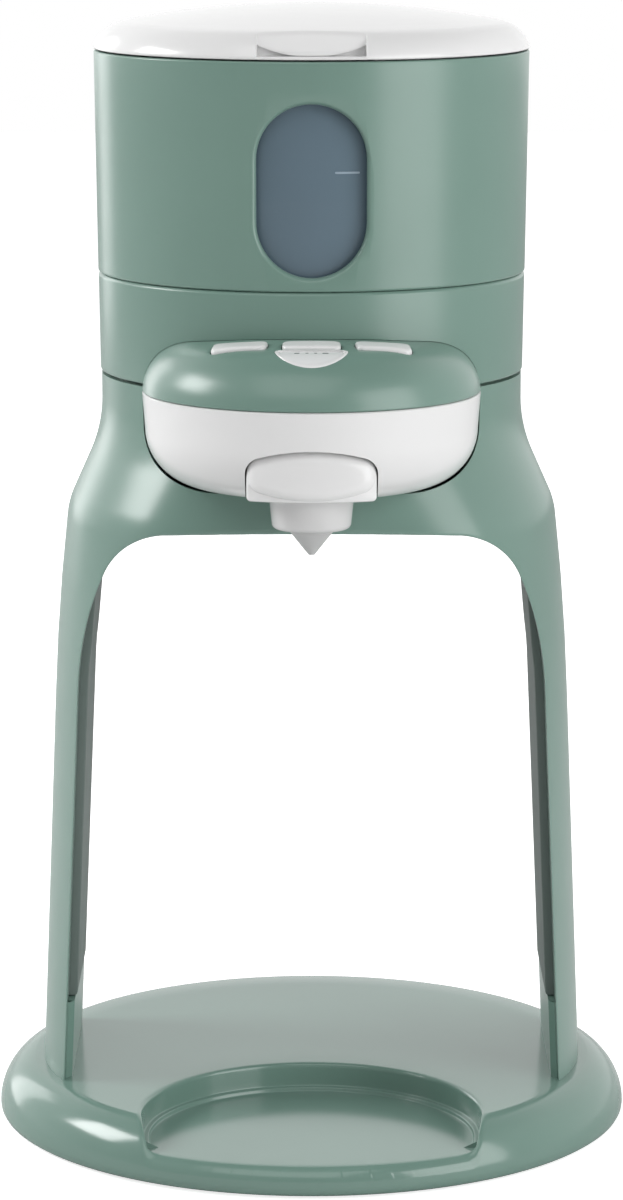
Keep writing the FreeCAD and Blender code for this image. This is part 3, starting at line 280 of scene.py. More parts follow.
def wrapped(name, lines, angle, closed=True):
    """Quads between lines of equal length that stand in a circle."""
    size = len(lines[0])
    faces = []
    for number in range(len(lines)):
        one, two = number * size, (number + 1) % len(lines) * size
        for step in range(size if closed else size - 1):
            after = (step + 1) % size
            faces.append([one + step, two + step, two + after, one + after])
    return solid(name, [point for line in lines for point in line], faces, angle)


def loft(name, rings, close_end=None):
    """Quads between rings of equal length; the last ring may close on a point."""
    points = [point for ring in rings for point in ring]
    size = len(rings[0])
    faces = []
    for level in range(len(rings) - 1):
        for number in range(size):
            after = (number + 1) % size
            base = level * size
            faces.append([base + number, base + after, base + size + after,
                          base + size + number])
    faces.append(list(range(size))[::-1])
    last = (len(rings) - 1) * size
    if close_end is None:
        faces.append([last + number for number in range(size)])
    else:
        points.append(close_end)
        for number in range(size):
            faces.append([last + number, last + (number + 1) % size, len(points) - 1])
    return solid(name, points, faces)


def block(name, low, high):
    """A cutting box between two corners."""
    (left, front, bottom), (right, back, top) = low, high
    return loft(name, [[(left, front, z), (right, front, z), (right, back, z), (left, back, z)]
                       for z in (bottom, top)])


def plug(name, outline, levels, place, crown=4):
    """A pad or cutter: rings of an outline at (inset, depth), its front closed by shrinking.

    place(u, v, depth) gives the point in space of an outline point at a depth.
    """
    rings = []
    for inset, depth in levels:
        edge = inset_line(outline, inset) if inset else outline
        rings.append([place(spot.x, spot.y, depth) for spot in edge])
    middle = sum(outline, Vector((0, 0))) / len(outline)
    for number in range(1, crown):
        part = number / crown
        rings.append([place(*spot.lerp(middle, part), depth) for spot in edge])
    return loft(name, rings, place(middle.x, middle.y, depth))


def before_wall(radius_at, y=0):
    """Placer for plug: the point over (x, z) at a depth outside the front of a round wall."""
    def place(x, z, depth):
        radius = radius_at(z) + depth
        return (x, y - math.sqrt(max(radius ** 2 - x ** 2, 0.01)), z)

    return place


def stadium(half, low, high):
    """Upright round-ended outline, anticlockwise."""
    line = trace([(half, low + half), (half, high - half), (-half, high - half, half),
                  (-half, low + half), (half, low + half, half)], 4)
    return even(line[:-1], 3)


def rounded_box(half_width, half_depth, radius, x=0, y=0):
    """Rectangle with round corners, anticlockwise."""
    right, left, back, front = x + half_width, x - half_width, y + half_depth, y - half_depth
    line = trace([(left + radius, front), (right - radius, front),
                  (right, front + radius, radius), (right, back - radius),
                  (right - radius, back, radius), (left + radius, back),
                  (left, back - radius, radius), (left, front + radius),
                  (left + radius, front, radius)], 10)
    return even(line[:-1], 1.2)


# ---------------------------------------------------------------- materials

def shader(name):
    """A node material with its tree, its surface shader and its object coordinates."""
    material = bpy.data.materials.new(name)
    material.use_nodes = True
    tree = material.node_tree
    surface = tree.nodes["Principled BSDF"]
    where = tree.nodes.new("ShaderNodeTexCoord").outputs["Object"]
    return material, tree, surface, where


def noise(tree, where, scale, detail=2.0, roughness=0.5):
    """Noise at so many cells a metre."""
    node = tree.nodes.new("ShaderNodeTexNoise")
    node.inputs["Scale"].default_value = scale
    node.inputs["Detail"].default_value = detail
    node.inputs["Roughness"].default_value = roughness
    tree.links.new(where, node.inputs["Vector"])
    return node.outputs["Fac"]


def spread(tree, value, low, high, start=0, end=1, how="LINEAR"):
    """A value that runs from start to end, mapped to a range."""
    node = tree.nodes.new("ShaderNodeMapRange")
    node.interpolation_type = how
    node.inputs["From Min"].default_value = start
    node.inputs["From Max"].default_value = end
    node.inputs["To Min"].default_value = low
    node.inputs["To Max"].default_value = high
    tree.links.new(value, node.inputs["Value"])
    return node.outputs["Result"]


def tint(tree, value, colour, other):
    """Two colours mixed by a value."""
    node = tree.nodes.new("ShaderNodeMix")
    node.data_type = "RGBA"
    node.inputs["A"].default_value = (*colour, 1)
    node.inputs["B"].default_value = (*other, 1)
    tree.links.new(value, node.inputs["Factor"])
    return node.outputs["Result"]


def bumps(tree, surface, value, distance):
    """Fine relief from a value."""
    node = tree.nodes.new("ShaderNodeBump")
    node.inputs["Distance"].default_value = distance
    node.inputs["Strength"].default_value = 1
    tree.links.new(value, node.inputs["Height"])
    tree.links.new(node.outputs["Normal"], surface.inputs["Normal"])


def moulded(name, colour, rough, grain=0.00001, shift=0.05, coat=0.0, coat_rough=0.12,
            shine=0.5):
    """Moulded plastic: faint cloudy colour, uneven gloss and a fine tool texture."""
    material, tree, surface, where = shader(name)
    clouds = noise(tree, where, 22, 3)
    darker = tuple(channel * (1 - shift) for channel in colour)
    lighter = tuple(min(channel * (1 + shift), 1) for channel in colour)
    tree.links.new(tint(tree, clouds, darker, lighter), surface.inputs["Base Color"])
    patches = noise(tree, where, 60, 4, 0.6)
    tree.links.new(spread(tree, patches, rough * 0.86, rough * 1.14),
                   surface.inputs["Roughness"])
    surface.inputs["Specular IOR Level"].default_value = shine
    surface.inputs["Coat Weight"].default_value = coat
    surface.inputs["Coat Roughness"].default_value = coat_rough
    bumps(tree, surface, noise(tree, where, 2600, 2), grain)
    return material


def metal(name, colour, rough):
    """Bright metal with fine drawn lines."""
    material, tree, surface, where = shader(name)
    surface.inputs["Metallic"].default_value = 1
    stretch = tree.nodes.new("ShaderNodeMapping")
    stretch.inputs["Scale"].default_value = (1, 1, 14)
    tree.links.new(where, stretch.inputs["Vector"])
    lines = noise(tree, stretch.outputs["Vector"], 900, 3)
    darker = tuple(channel * 0.85 for channel in colour)
    tree.links.new(tint(tree, lines, darker, colour), surface.inputs["Base Color"])
    tree.links.new(spread(tree, lines, rough * 0.8, rough * 1.25), surface.inputs["Roughness"])
    bumps(tree, surface, lines, 0.000004)
    return material


def clear(name, colour, rough, through):
    """Tinted clear plastic with a faintly uneven surface."""
    material, tree, surface, where = shader(name)
    clouds = noise(tree, where, 30, 2)
    darker = tuple(channel * 0.94 for channel in colour)
    tree.links.new(tint(tree, clouds, darker, colour), surface.inputs["Base Color"])
    tree.links.new(spread(tree, noise(tree, where, 90, 3), rough * 0.8, rough * 1.2),
                   surface.inputs["Roughness"])
    surface.inputs["Transmission Weight"].default_value = through
    surface.inputs["IOR"].default_value = 1.45
    bumps(tree, surface, noise(tree, where, 400, 2), 0.000006)
    return material


SAGE = (0.172, 0.282, 0.238)
LINER = (0.150, 0.185, 0.172)
WHITE = (0.80, 0.80, 0.80)
# The nozzle's white is the bowl's white plastic painted darker: painted shade for the shadow
# under the bowl and carrier.
NOZZLE_SHADED_WHITE = (0.63, 0.63, 0.63)
SLATE = (0.172, 0.247, 0.305)
MARK_BLUE = (0.30, 0.38, 0.45)
GREY = (0.55, 0.55, 0.55)
NEAR_BLACK = (0.03, 0.032, 0.032)
DARK_GREY = (0.07, 0.08, 0.08)
BOARD_GREEN = (0.012, 0.085, 0.035)
MILKY = (0.55, 0.57, 0.57)
STEEL = (0.62, 0.62, 0.62)
ALUMINIUM = (0.72, 0.73, 0.74)
DISPLAY = (0.78, 0.79, 0.79)

sage = moulded("sage_plastic", SAGE, 0.30, coat=0.2, coat_rough=0.22)
gloss_sage = moulded("base_plastic", SAGE, 0.15, shine=0.65)
liner_plastic = moulded("liner_plastic", LINER, 0.5, shine=0.12)
gloss_white = moulded("gloss_white", WHITE, 0.16, grain=0.000003, shift=0.012)
# Darker copy of the gloss white for the nozzle: painted shade, not a different plastic.
shaded_nozzle_white = moulded("shaded_nozzle_white", NOZZLE_SHADED_WHITE, 0.2, shift=0.012, coat=0.2)
tip_rubber = moulded("tip_rubber", GREY, 0.5, shift=0.04)
dark_rubber = moulded("dark_rubber", NEAR_BLACK, 0.6, grain=0.00002)
inner_plastic = moulded("inner_plastic", DARK_GREY, 0.5, grain=0.00002)
board_resin = moulded("board_resin", BOARD_GREEN, 0.35, shift=0.12)
hose_silicone = moulded("hose_silicone", MILKY, 0.4)
tank_plastic = clear("tank_plastic", SLATE, 0.14, 0.25)
steel = metal("steel", STEEL, 0.28)
heater_metal = metal("heater_metal", ALUMINIUM, 0.35)
display_white = moulded("display_glow", DISPLAY, 0.12, grain=0.000002, shift=0.01)
level_print = moulded("level_print", MARK_BLUE, 0.4)

FINISHES = {
    "body_green": sage, "liner_grey": liner_plastic, "gloss_white": gloss_white,
    "tank_tint": tank_plastic, "display_white": display_white, "tip_grey": tip_rubber,
    "soft_grey": dark_rubber, "steel": steel, "inner_plastic": inner_plastic,
    "board_green": board_resin, "heater_metal": heater_metal, "hose_clear": hose_silicone,
}
slots = {part["node"]: part["material_slot"] for part in frame["record"]["subparts"]}
for node_name, node in nodes.items():
    node.data.materials.clear()
    node.data.materials.append(FINISHES[slots[node_name]])


def dress(piece, body, material, *replaced):
    """Give a new piece its material and body, in place of some nodes of the frame."""
    piece.data.materials.clear()
    piece.data.materials.append(material)
    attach(piece, body)
    if replaced:
        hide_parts(*replaced)


# ---------------------------------------------------------------- base

BASE_RADIUS = 97.5
PLATEAU, PLATEAU_RADIUS = 18.0, 86.3
rim_line = trace([(PLATEAU_RADIUS, PLATEAU), (93.6, 13.82, -12.8), (BASE_RADIUS, 3.4, -15.9)], 2)
FOOT_EDGE = ((97.35, 2.4), (96.9, 1.6), (96.1, 1.05), (94.6, 0.8), (92.0, 0.8))
RIM_INSIDE = ((94.4, 4.8), (91.4, 12), (85.3, 15.3))
COVER_WALL, FLOOR_WALL = 2.4, 2.6
RAYS = 720

RECESS_RADIUS, RECESS_Y = 50.7, -66.7
FLOOR, LEDGE, WALL_END = 9.5, 10.7, 19
POCKET_RADIUS = 46
LEDGE_WIDTH = 2.0
STEP_WIDTH, STEP_END = 0.85, 1.15
STEP_SHAPE = ((0, 0), (0.4, 0), (0.64, 0.06), (0.8, 0.25), (0.88, 0.7), (1, 0.92))
LEAST_STEP = 0.02
BACK_FOOT, FRONT_FOOT = 0.5, 1.2
MOUTH_ROUND, FRONT_ROUND, ROUNDING_TOP = 1.5, 3.8, 17.5
# Between these sines of a ray's angle the step and the wall's foot change from front to back.
STEP_FADE, FOOT_FADE = (-0.3, 0.4), (-0.35, 0.2)


def rim_height(radius):
    """Height of the base's cover at a distance from its axis."""
    return PLATEAU if radius <= PLATEAU_RADIUS else height_on(rim_line, radius)


def ray_to_circle(angle, radius):
    """Distance from the recess's centre to a circle about the base's axis."""
    run = Vector((math.cos(angle), math.sin(angle)))
    along = -RECESS_Y * run.y
    return along + math.sqrt(radius ** 2 - RECESS_Y ** 2 + along ** 2)


def recess_line(angle):
    """Half section of the recess along a ray; its ledge fades out towards the front."""
    back = math.sin(angle)
    step = LEAST_STEP + (LEDGE - FLOOR - LEAST_STEP) * smoother(*STEP_FADE, back)
    foot = FRONT_FOOT + (BACK_FOOT - FRONT_FOOT) * smoother(*FOOT_FADE, back)
    level = FLOOR + step
    inner = RECESS_RADIUS - foot
    start = inner - LEDGE_WIDTH
    line = [Vector((start * number / 8, FLOOR)) for number in range(8)]
    line += [Vector((start + STEP_WIDTH * part, FLOOR + step * rise))
             for part, rise in STEP_SHAPE]
    line.append(Vector((start + STEP_END, level)))
    for turn in range(0, 91, 15):
        phase = math.radians(turn)
        reach = inner + foot * math.sin(phase)
        line.append(Vector((reach, level + foot * (1 - math.cos(phase)))))
    line += [Vector((RECESS_RADIUS, level + foot + (WALL_END - level - foot) * number / 4))
             for number in range(1, 5)]
    rising = [line[0]]
    for spot in line[1:]:
        rising.append(Vector((max(spot.x, rising[-1].x), max(spot.y, rising[-1].y))))
    return rising


def cover_line(angle):
    """Top of the cover along a ray: recess, its rounded edge, plateau and rim."""
    def rim_at(distance):
        x, y = distance * math.cos(angle), RECESS_Y + distance * math.sin(angle)
        return rim_height(math.hypot(x, y))

    out = ray_to_circle(angle, BASE_RADIUS)
    recess = recess_line(angle)
    inside = last_run(recess, lambda spot: spot.x < out and spot.y < rim_at(spot.x))
    edge = walk(recess, inside)
    reach = FRONT_ROUND + (MOUTH_ROUND - FRONT_ROUND) * smoother(FLOOR, ROUNDING_TOP, edge.y)
    before = max(inside - reach, 0)
    line = [walk(recess, min(run_to(recess, number), before))
            for number in range(len(recess) - 1)]
    far, drop, stride = edge.x, 0.0, 0.05
    while drop < reach and far < out - stride:
        step = min(stride, out - far)
        drop += math.hypot(step, rim_at(far + step) - rim_at(far))
        far += step
    line += curve(walk(recess, before), edge, Vector((far, rim_at(far))), 10)[1:-1]
    shelf = ray_to_circle(angle, PLATEAU_RADIUS)
    for step in range(11):
        place = far + (shelf - far) * step / 10 if shelf > far else far
        line.append(Vector((place, rim_at(place))))
    for spot in rim_line[1:]:
        place = max(ray_to_circle(angle, spot.x), far)
        line.append(Vector((place, rim_at(min(place, out - 1e-4)))))
    line[-1].y = rim_line[-1].y
    return line, min(POCKET_RADIUS, edge.x)


def underside_line(angle, pocket):
    """Bottom of the cover along a ray, from the rim's foot in to the recess's centre."""
    line = [(ray_to_circle(angle, radius), height) for radius, height in FOOT_EDGE]
    for radius, height in RIM_INSIDE:
        distance = ray_to_circle(angle, radius)
        above = FLOOR if distance < pocket else LEDGE if distance < RECESS_RADIUS else math.inf
        line.append((distance, min(height, above - COVER_WALL)))
    line.append((min(pocket + 4, distance - 0.5), FLOOR - FLOOR_WALL))
    line.append((0, FLOOR - FLOOR_WALL))
    return line


def build_base():
    """Cover of the base, as rays from the recess's centre out to the foot and back."""
    rays = []
    for number in range(RAYS):
        angle = math.tau * number / RAYS
        top, pocket = cover_line(angle)
        rays.append([(distance * math.cos(angle), RECESS_Y + distance * math.sin(angle), height)
                     for distance, height in [*top, *underside_line(angle, pocket)]])
    dress(wrapped("base_cover", rays, 60, closed=False), "stand", gloss_sage, "base_top")


build_base()


# ---------------------------------------------------------------- stand

STAND_TOP = 233.4
FAN_TOP = STAND_TOP - 0.4
stand_line = even(trace([(83.6, PLATEAU), (79, 133), (74.75, 189.5, 730), (72.6, 197, 24),
                         (67.9, 207.5), (63.9, 224.5, -42), (63.9, STAND_TOP)], 2), 3)
arch_line = trace([(75.7, PLATEAU), (70.5, 139), (61.8, 177.4, 104), (44, 191.5, 24.5),
                   (0, 194.6, 300)], 2)
arch_edge = even(arch_line, 1.1)
ARCH_CORNER = next(number for number, spot in enumerate(arch_edge) if spot.y > 181)
ARCH_DEPTH, ARCH_ROUND = 26.0, 1.0
ARCH_TOP, ARCH_TOP_FULL, ARCH_TOP_DEPTH = 172, 176, 12
SKIN, RIB = 2.8, 2.6
FAN_RADIUS = 75
OUTER_STEPS, ROUND_STEPS = 44, 4
INNER_STEPS = OUTER_STEPS // 2
NICHE_FRONT, NICHE_BLEND, NICHE_TOP, NICHE_SAG = 64.5, 12, 212, 0.22
# Depths behind the front between which the niche fades out, and heights for its lower edge.
NICHE_FADE, NICHE_FALL = (11, 5), (208, 197)


def stand_radius(z):
    """Outer radius of the stand at a height."""
    return place_at(stand_line, z)


def on_stand(angle, z, inward=0):
    """A point on the stand's side; the angle runs from +X towards the front."""
    radius = stand_radius(z) - inward
    return Vector((radius * math.cos(angle), -radius * math.sin(angle), z))


def edge_angle(spot):
    """Angle at which a point of the arch's edge lies on the stand's side."""
    return math.acos(min(spot.x / stand_radius(spot.y), 1))


def fan_goal(number):
    """Angle and height at which a line of the fan leaves the quarter."""
    spot, corner = arch_edge[number], arch_edge[ARCH_CORNER]
    if number <= ARCH_CORNER:
        part = (spot.y - PLATEAU) / (corner.y - PLATEAU)
        return 0.0, PLATEAU + part * (FAN_TOP - PLATEAU)
    first = edge_angle(corner)
    part = (edge_angle(spot) - first) / (math.pi / 2 - first)
    return part * math.pi / 2, FAN_TOP


def arch_back(spot):
    """How far back the arch's inner edge lies: level along the legs, round at the top."""
    if spot.y < ARCH_TOP:
        return -ARCH_DEPTH
    round_back = -math.sqrt(max((stand_radius(spot.y) - ARCH_TOP_DEPTH) ** 2 - spot.x ** 2, 1))
    straight = 1 - smoother(ARCH_TOP, ARCH_TOP_FULL, spot.y)
    return round_back + straight * (-ARCH_DEPTH - round_back)


def arch_rib(number):
    """Offset from the arch's edge into the wall behind it."""
    last = len(arch_edge) - 1
    if number == 0:
        return Vector((RIB, 0, 0))
    if number == last:
        return Vector((0, 0, RIB))
    along = arch_edge[number + 1] - arch_edge[number - 1]
    return Vector((along.y, 0, -along.x)).normalized() * RIB


def fan_line(number):
    """A line of the fan: down the outside, round the arch's edge and up the inside."""
    spot = arch_edge[number]
    angle, z = edge_angle(spot), spot.y
    end_angle, end_z = fan_goal(number)
    turn, rise = end_angle - angle, end_z - z
    first = ARCH_ROUND / math.hypot(turn * FAN_RADIUS, rise)
    line = []
    for step in range(OUTER_STEPS + 1):
        t = first + (1 - first) * (1 - step / OUTER_STEPS)
        line.append(on_stand(angle + turn * t, z + rise * t))
    rim = on_stand(angle, z)
    lip = rim + Vector((0, ARCH_ROUND, 0))
    line += curve(line[-1], rim, lip, ROUND_STEPS)[1:]
    back = arch_back(spot)
    inner_corner = Vector((spot.x, back, z))
    inner_edge = on_stand(angle, z, SKIN) + arch_rib(number)
    line += [Vector((spot.x, (lip.y + back) / 2, z)), inner_corner,
             inner_corner + arch_rib(number), inner_edge]
    there = on_stand(end_angle, end_z, SKIN)
    for step in range(1, INNER_STEPS + 1):
        t = step / INNER_STEPS
        skin = on_stand(angle + turn * t, z + rise * t, SKIN)
        line.append(inner_edge.lerp(there, t).lerp(skin, smoother(0, 0.25, t)))
    return line


def fan_faces(rows, size):
    """Faces of the quarter: its skins, its top edge and the sole of its leg."""
    faces = []
    for base in range(0, (rows - 1) * size, size):
        for step in range(base, base + size - 1):
            faces.append([step, step + 1, size + step + 1, size + step])
    for one in range(ARCH_CORNER * size, (rows - 1) * size, size):
        faces.append([one, one + size, one + 2 * size - 1, one + size - 1])
    lip = OUTER_STEPS + ROUND_STEPS
    inner = [size - 1 - min(step // 2, INNER_STEPS) for step in range(lip + 1)]
    faces += true_faces([[step, step + 1, inner[step + 1], inner[step]] for step in range(lip)])
    faces.append(list(range(lip, lip + 5)))
    return faces


def mirrored(name, quarter):
    """A quarter about the Z axis repeated on all four sides."""
    whole = bmesh.new()
    for flip_x in (1, -1):
        for flip_y in (1, -1):
            copy = quarter.data.copy()
            for vertex in copy.vertices:
                vertex.co.x *= flip_x
                vertex.co.y *= flip_y
            whole.from_mesh(copy)
    mesh = bpy.data.meshes.new(name)
    bmesh.ops.remove_doubles(whole, verts=whole.verts, dist=2e-6)
    whole.to_mesh(mesh)
    whole.free()
    bpy.data.objects.remove(quarter)
    piece = bpy.data.objects.new(name, mesh)
    bpy.context.scene.collection.objects.link(piece)
    return piece


def press_niche(piece):
    """Flatten the stand's front behind the nozzle and let its lower edge down a little."""
    for vertex in piece.data.vertices:
        x, y, z = vertex.co / MM
        face = math.sqrt(max(stand_radius(z) ** 2 - x ** 2, 0))
        if y < 0 and face > NICHE_FRONT - NICHE_BLEND and z < NICHE_TOP:
            shift = face - softest(NICHE_FRONT, face, NICHE_BLEND)
            near = smoother(face - NICHE_FADE[0], face - NICHE_FADE[1], -y)
            vertex.co.y += shift * near * MM
            vertex.co.z -= shift * near * NICHE_SAG * smoother(*NICHE_FALL, z) * MM


POD_Y = -45.0
POD_SEAM = 232.8
POD_RADIUS = 50


def bowl_line(grow, high):
    """Half section of the pod's bowl, grown by a distance."""
    return trace([(0, 205.1 - grow), (32.2, 205.1 - grow), (49.2 + grow, 222.1, 17 + grow),
                  (POD_RADIUS + grow, high)], 4)


LINER_LOW, LINER_HIGH, LINER_HALF = 42.6, 169.2, 25.7
LINER_ROUND, LINER_THICKNESS, LINER_PROUD = 0.7, 3.2, 2.65
LEG_BEND, BEND_PLACE, BEND_LEAN = 139, 67.85, 0.09
# Strips of the leg below and above its liner: (low, high, proud of the leg, half width).
LEG_STRIPS = ((18.0, 42.2, 2.1, 33), (169.5, 172.8, 0, 27.2))
STRIP_COVER = 1.4


def leg_inside(z):
    """Face of a liner: along the arch's edge, but straight on where that turns inward."""
    along = place_at(arch_line, z) - LINER_PROUD
    return along if z < LEG_BEND else max(along, BEND_PLACE - BEND_LEAN * (z - LEG_BEND))


def leg_strip(side, low, high, proud, half):
    """A block across a leg's inner side, into the leg's outer wall."""
    rings = []
    for y, share in ((-half, 0), (-half + 3, 1), (-10, 1), (10, 1), (half - 3, 1), (half, 0)):
        ring = [(place_at(arch_line, z) - proud * share + 0.02, z) for z in (low, high)]
        ring += [(math.sqrt((stand_radius(z) - STRIP_COVER) ** 2 - y ** 2), z)
                 for z in (high, low)]
        rings.append([(side * x, y, z) for x, z in ring])
    return loft("leg_strip", rings)


def build_stand():
    """The stand: a quarter as a fan of lines from the arch's edge, mirrored to the whole."""
    lines = [fan_line(number) for number in range(len(arch_edge))]
    faces = fan_faces(len(lines), len(lines[0]))
    stand = mirrored("stand", solid("stand_quarter", [spot for line in lines for spot in line],
                                    faces))
    press_niche(stand)
    tidy(stand, 40)
    for side in (-1, 1):
        for strip in LEG_STRIPS:
            carve(stand, leg_strip(side, *strip), "UNION")
    top = 240
    carve(stand, turned("passage", bowl_line(0.9, top) + [Vector((0, top))], POD_Y, POD_STEPS))
    dress(stand, "stand", sage, "stand_shell")


def build_liner(name, side):
    """Panel on a leg's inner side, with softened edges."""
    levels = [LINER_LOW, LINER_LOW + 0.25, LINER_LOW + LINER_ROUND,
              *[46 + step * 4 for step in range(31)],
              LINER_HIGH - LINER_ROUND, LINER_HIGH - 0.25, LINER_HIGH]
    lines = []
    for z in levels:
        drop = rounded_drop(min(z - LINER_LOW, LINER_HIGH - z), LINER_ROUND)
        line = []
        for number in range(-14, 15):
            y = LINER_HALF * math.sin(number / 14 * math.pi / 2)
            fall = max(drop, rounded_drop(LINER_HALF - abs(y), LINER_ROUND))
            line.append((side * (leg_inside(z) + fall), y, z))
        line += [(side * (leg_inside(z) + LINER_THICKNESS), y, z)
                 for y in (LINER_HALF, LINER_HALF / 2, -LINER_HALF / 2, -LINER_HALF)]
        lines.append(line)
    dress(loft(f"liner_{name}", lines), "stand", liner_plastic, f"leg_liner_{name}")


build_stand()
for name, side in (("left", -1), ("right", 1)):
    build_liner(name, side)


# ---------------------------------------------------------------- housings

HOUSING_LOW, HOUSING_HIGH = 264.15, 328.8
HOUSING_RADIUS, HOUSING_FLARE = 64.75, 0.9
WINDOW_ROUND = ((0, -6), (0, -1.8), (-0.1, -1.3), (-0.3, -0.8), (-0.62, -0.35), (-0.95, -0.1),
                (-1.25, 0.05), (-1.25, 1.5))


def housing_radius(z):
    """Outer radius of the upper housing."""
    return HOUSING_RADIUS + HOUSING_FLARE * (z - HOUSING_LOW) / (HOUSING_HIGH - HOUSING_LOW)


def cap_line(grow, low):
    """Half section of the pod's cover, grown by a distance."""
    return trace([(0, 251 + grow), (36 + grow * 0.16, 248.2 + grow, -(232.8 + grow)),
                  (POD_RADIUS + grow, POD_SEAM, -(16.6 + grow)), (POD_RADIUS + grow, low)], 4)


def build_lower_housing():
    """The band behind the pod, cut out where the pod passes into it."""
    line = soften(trace([
        (61.6, 246), (58.6, 236.5), (58.6, 229), (60.9, 229), (60.9, 233.8), (63.75, 233.8),
        (64.25, 234.3), (64.65, 262.8), (63.95, 263.65), (62.6, 263.65), (62.6, 252.1)]), 0.35)
    band = turned("lower_band", line)
    foot = 204
    opening = turned("opening", cap_line(0.12, foot) + [Vector((0, foot))], POD_Y, POD_STEPS)
    carve(opening, block("front_room", (-60, -120, 200), (60, -35, 270)), "INTERSECT")
    carve(band, opening)
    dress(band, "stand", sage, "lower_housing")


def build_upper_housing():
    """The tank's housing with its upright window."""
    line = soften(trace([
        (62.45, 258), (62.45, 263.8), (64.05, 263.8), (64.76, 264.55, 0.72), (65.65, 329.9),
        (65.25, 330.3), (62.9, 330.3), (62.4, 267), (61.3, 264.8), (61.3, 258)]), 0.4)
    wall = turned("upper_wall", even(line, 8))
    window = stadium(16, 267.8, 318)
    carve(wall, plug("window_cut", window, WINDOW_ROUND, before_wall(housing_radius)))
    dress(wall, "stand", sage, "upper_housing")


build_lower_housing()
build_upper_housing()


# ---------------------------------------------------------------- lid

LID_TOP, LID_RADIUS = 344, 65.8
lid_dome = trace([(0, LID_TOP), (57.1, 338.8, -316.1), (LID_RADIUS, 331.6, -11.5)], 1)
LID_INNER_TOP = 341.6
lid_under = trace([(62.3, 331.8), (56.6, 336.4), (0, LID_INNER_TOP)])[::-1]
LID_SEAT, LID_LEDGE = 331.1, 331.7
LID_SKIRT = ((LID_RADIUS, 331.15), (65.6, 330.85), (65.0, 330.8), (64.85, 330.9),
             (64.8, LID_SEAT), (62.7, LID_SEAT))
LID_INNER_RADII = (62.3, 61, 60, 59.9, 58, 56.6, 50, 40, 20)
NOTCH_HALF, NOTCH_BACK, NOTCH_FRONT = 15.8, 62.0, 62.5
SLOPE = math.tan(math.radians(59))
EDGE_ROUND, SIDE_ROUND, SLOPE_BLEND = 0.9, 0.5, 1.6
UNDERCUT = 2.4
LID_WALL = 2
# Beyond this radius the front columns keep their x, so that they follow the notch's sides.
STRAIGHT_FROM, STRAIGHT_HALF = 50.0, 20
NOTCH_COLUMNS = (0, 1.5, 3, 4.5, 6, 7.5, 9, 10.5, 12, 13.2, 14.2, 15, 15.5, 15.79, 15.8, 15.84,
                 15.9, 16.0, 16.12, 16.3, 16.6, 17, 17.6, 18.4, 19.2, STRAIGHT_HALF)
ROUND_COLUMNS = 120
HINGE_Y, HINGE_Z = 69.0, 332.3


def notch_floor(y, radius, deeper=0):
    """Height of the notch's slope, wall and ledge."""
    back = NOTCH_BACK - deeper
    slope = LID_LEDGE + 0.5 + (y + NOTCH_BACK) * SLOPE - deeper / math.cos(math.atan(SLOPE))
    if radius > back:
        return LID_LEDGE - deeper
    edge = min(EDGE_ROUND, max(slope - LID_LEDGE, 0))
    return max(slope - rounded_drop(back - radius, edge), LID_LEDGE - deeper)


def lid_height(x, y, radius):
    """Height of the lid's outside over a point."""
    dome = height_on(lid_dome, radius)
    if y > -STRAIGHT_FROM + LID_WALL:
        return dome
    cut = softest(dome, notch_floor(y, radius), SLOPE_BLEND)
    if abs(x) < NOTCH_HALF:
        return cut
    edge = min(SIDE_ROUND, max(dome - cut, 0))
    return dome - rounded_drop(abs(x) - NOTCH_HALF, edge)


def lid_columns():
    """Columns of the lid from its front round to its back: x kept in front, angles behind."""
    columns = [(x, None, None) for x in NOTCH_COLUMNS]
    near, far = math.asin(STRAIGHT_HALF / STRAIGHT_FROM), math.asin(STRAIGHT_HALF / LID_RADIUS)
    for number in range(1, ROUND_COLUMNS + 1):
        share = number / ROUND_COLUMNS
        columns.append((None, near + (math.pi - near) * share, far + (math.pi - far) * share))
    other_side = [tuple(-value if value else value for value in column)
                  for column in columns[-2:0:-1]]
    return columns + other_side


def on_lid(column, radius):
    """Place of a column at a distance from the axis."""
    x, near, far = column
    if x is not None:
        if radius < STRAIGHT_FROM:
            x = x * radius / STRAIGHT_FROM
        return x, -math.sqrt(max(radius ** 2 - x ** 2, 0))
    share = min(max((radius - STRAIGHT_FROM) / (LID_RADIUS - STRAIGHT_FROM), 0), 1)
    angle = near + (far - near) * share
    return radius * math.sin(angle), -radius * math.cos(angle)


def lid_radii():
    """Radii of the lid's outside, closest together at the notch's wall."""
    radii = [radius * 2.5 for radius in range(1, 20)] + [STRAIGHT_FROM - 0.01]
    radii += [STRAIGHT_FROM + step * 0.4 for step in range(1, 28)]
    radii += [61.3, 61.5, 61.65, 61.78, 61.88, 61.95, 61.99, 62.0, 62.01, 62.1, 62.3]
    return radii + [62.6 + step * 0.2 for step in range(16)] + [LID_RADIUS]


def lid_line(column, radii):
    """Section of the lid along a column: outside, skirt and inside."""
    line = [(0, 0, LID_TOP)]
    for radius in radii:
        x, y = on_lid(column, radius)
        height = lid_height(x, y, radius)
        if NOTCH_BACK <= radius < NOTCH_FRONT and abs(x) < NOTCH_HALF and y < 0:
            under = 1 - UNDERCUT * (NOTCH_FRONT - radius) / radius
            x, y = x * under, y * under
        line.append((x, y, height))
    for radius, height in LID_SKIRT:
        line.append((*on_lid(column, radius), height))
    for radius in LID_INNER_RADII:
        x, y = on_lid(column, radius)
        height = height_on(lid_under, radius)
        if abs(x) < NOTCH_HALF + LID_WALL and y < -STRAIGHT_FROM + LID_WALL:
            height = min(height, notch_floor(y, radius, LID_WALL))
        line.append((x, y, max(height, LID_SEAT)))
    line.append((0, 0, LID_INNER_TOP))
    return line


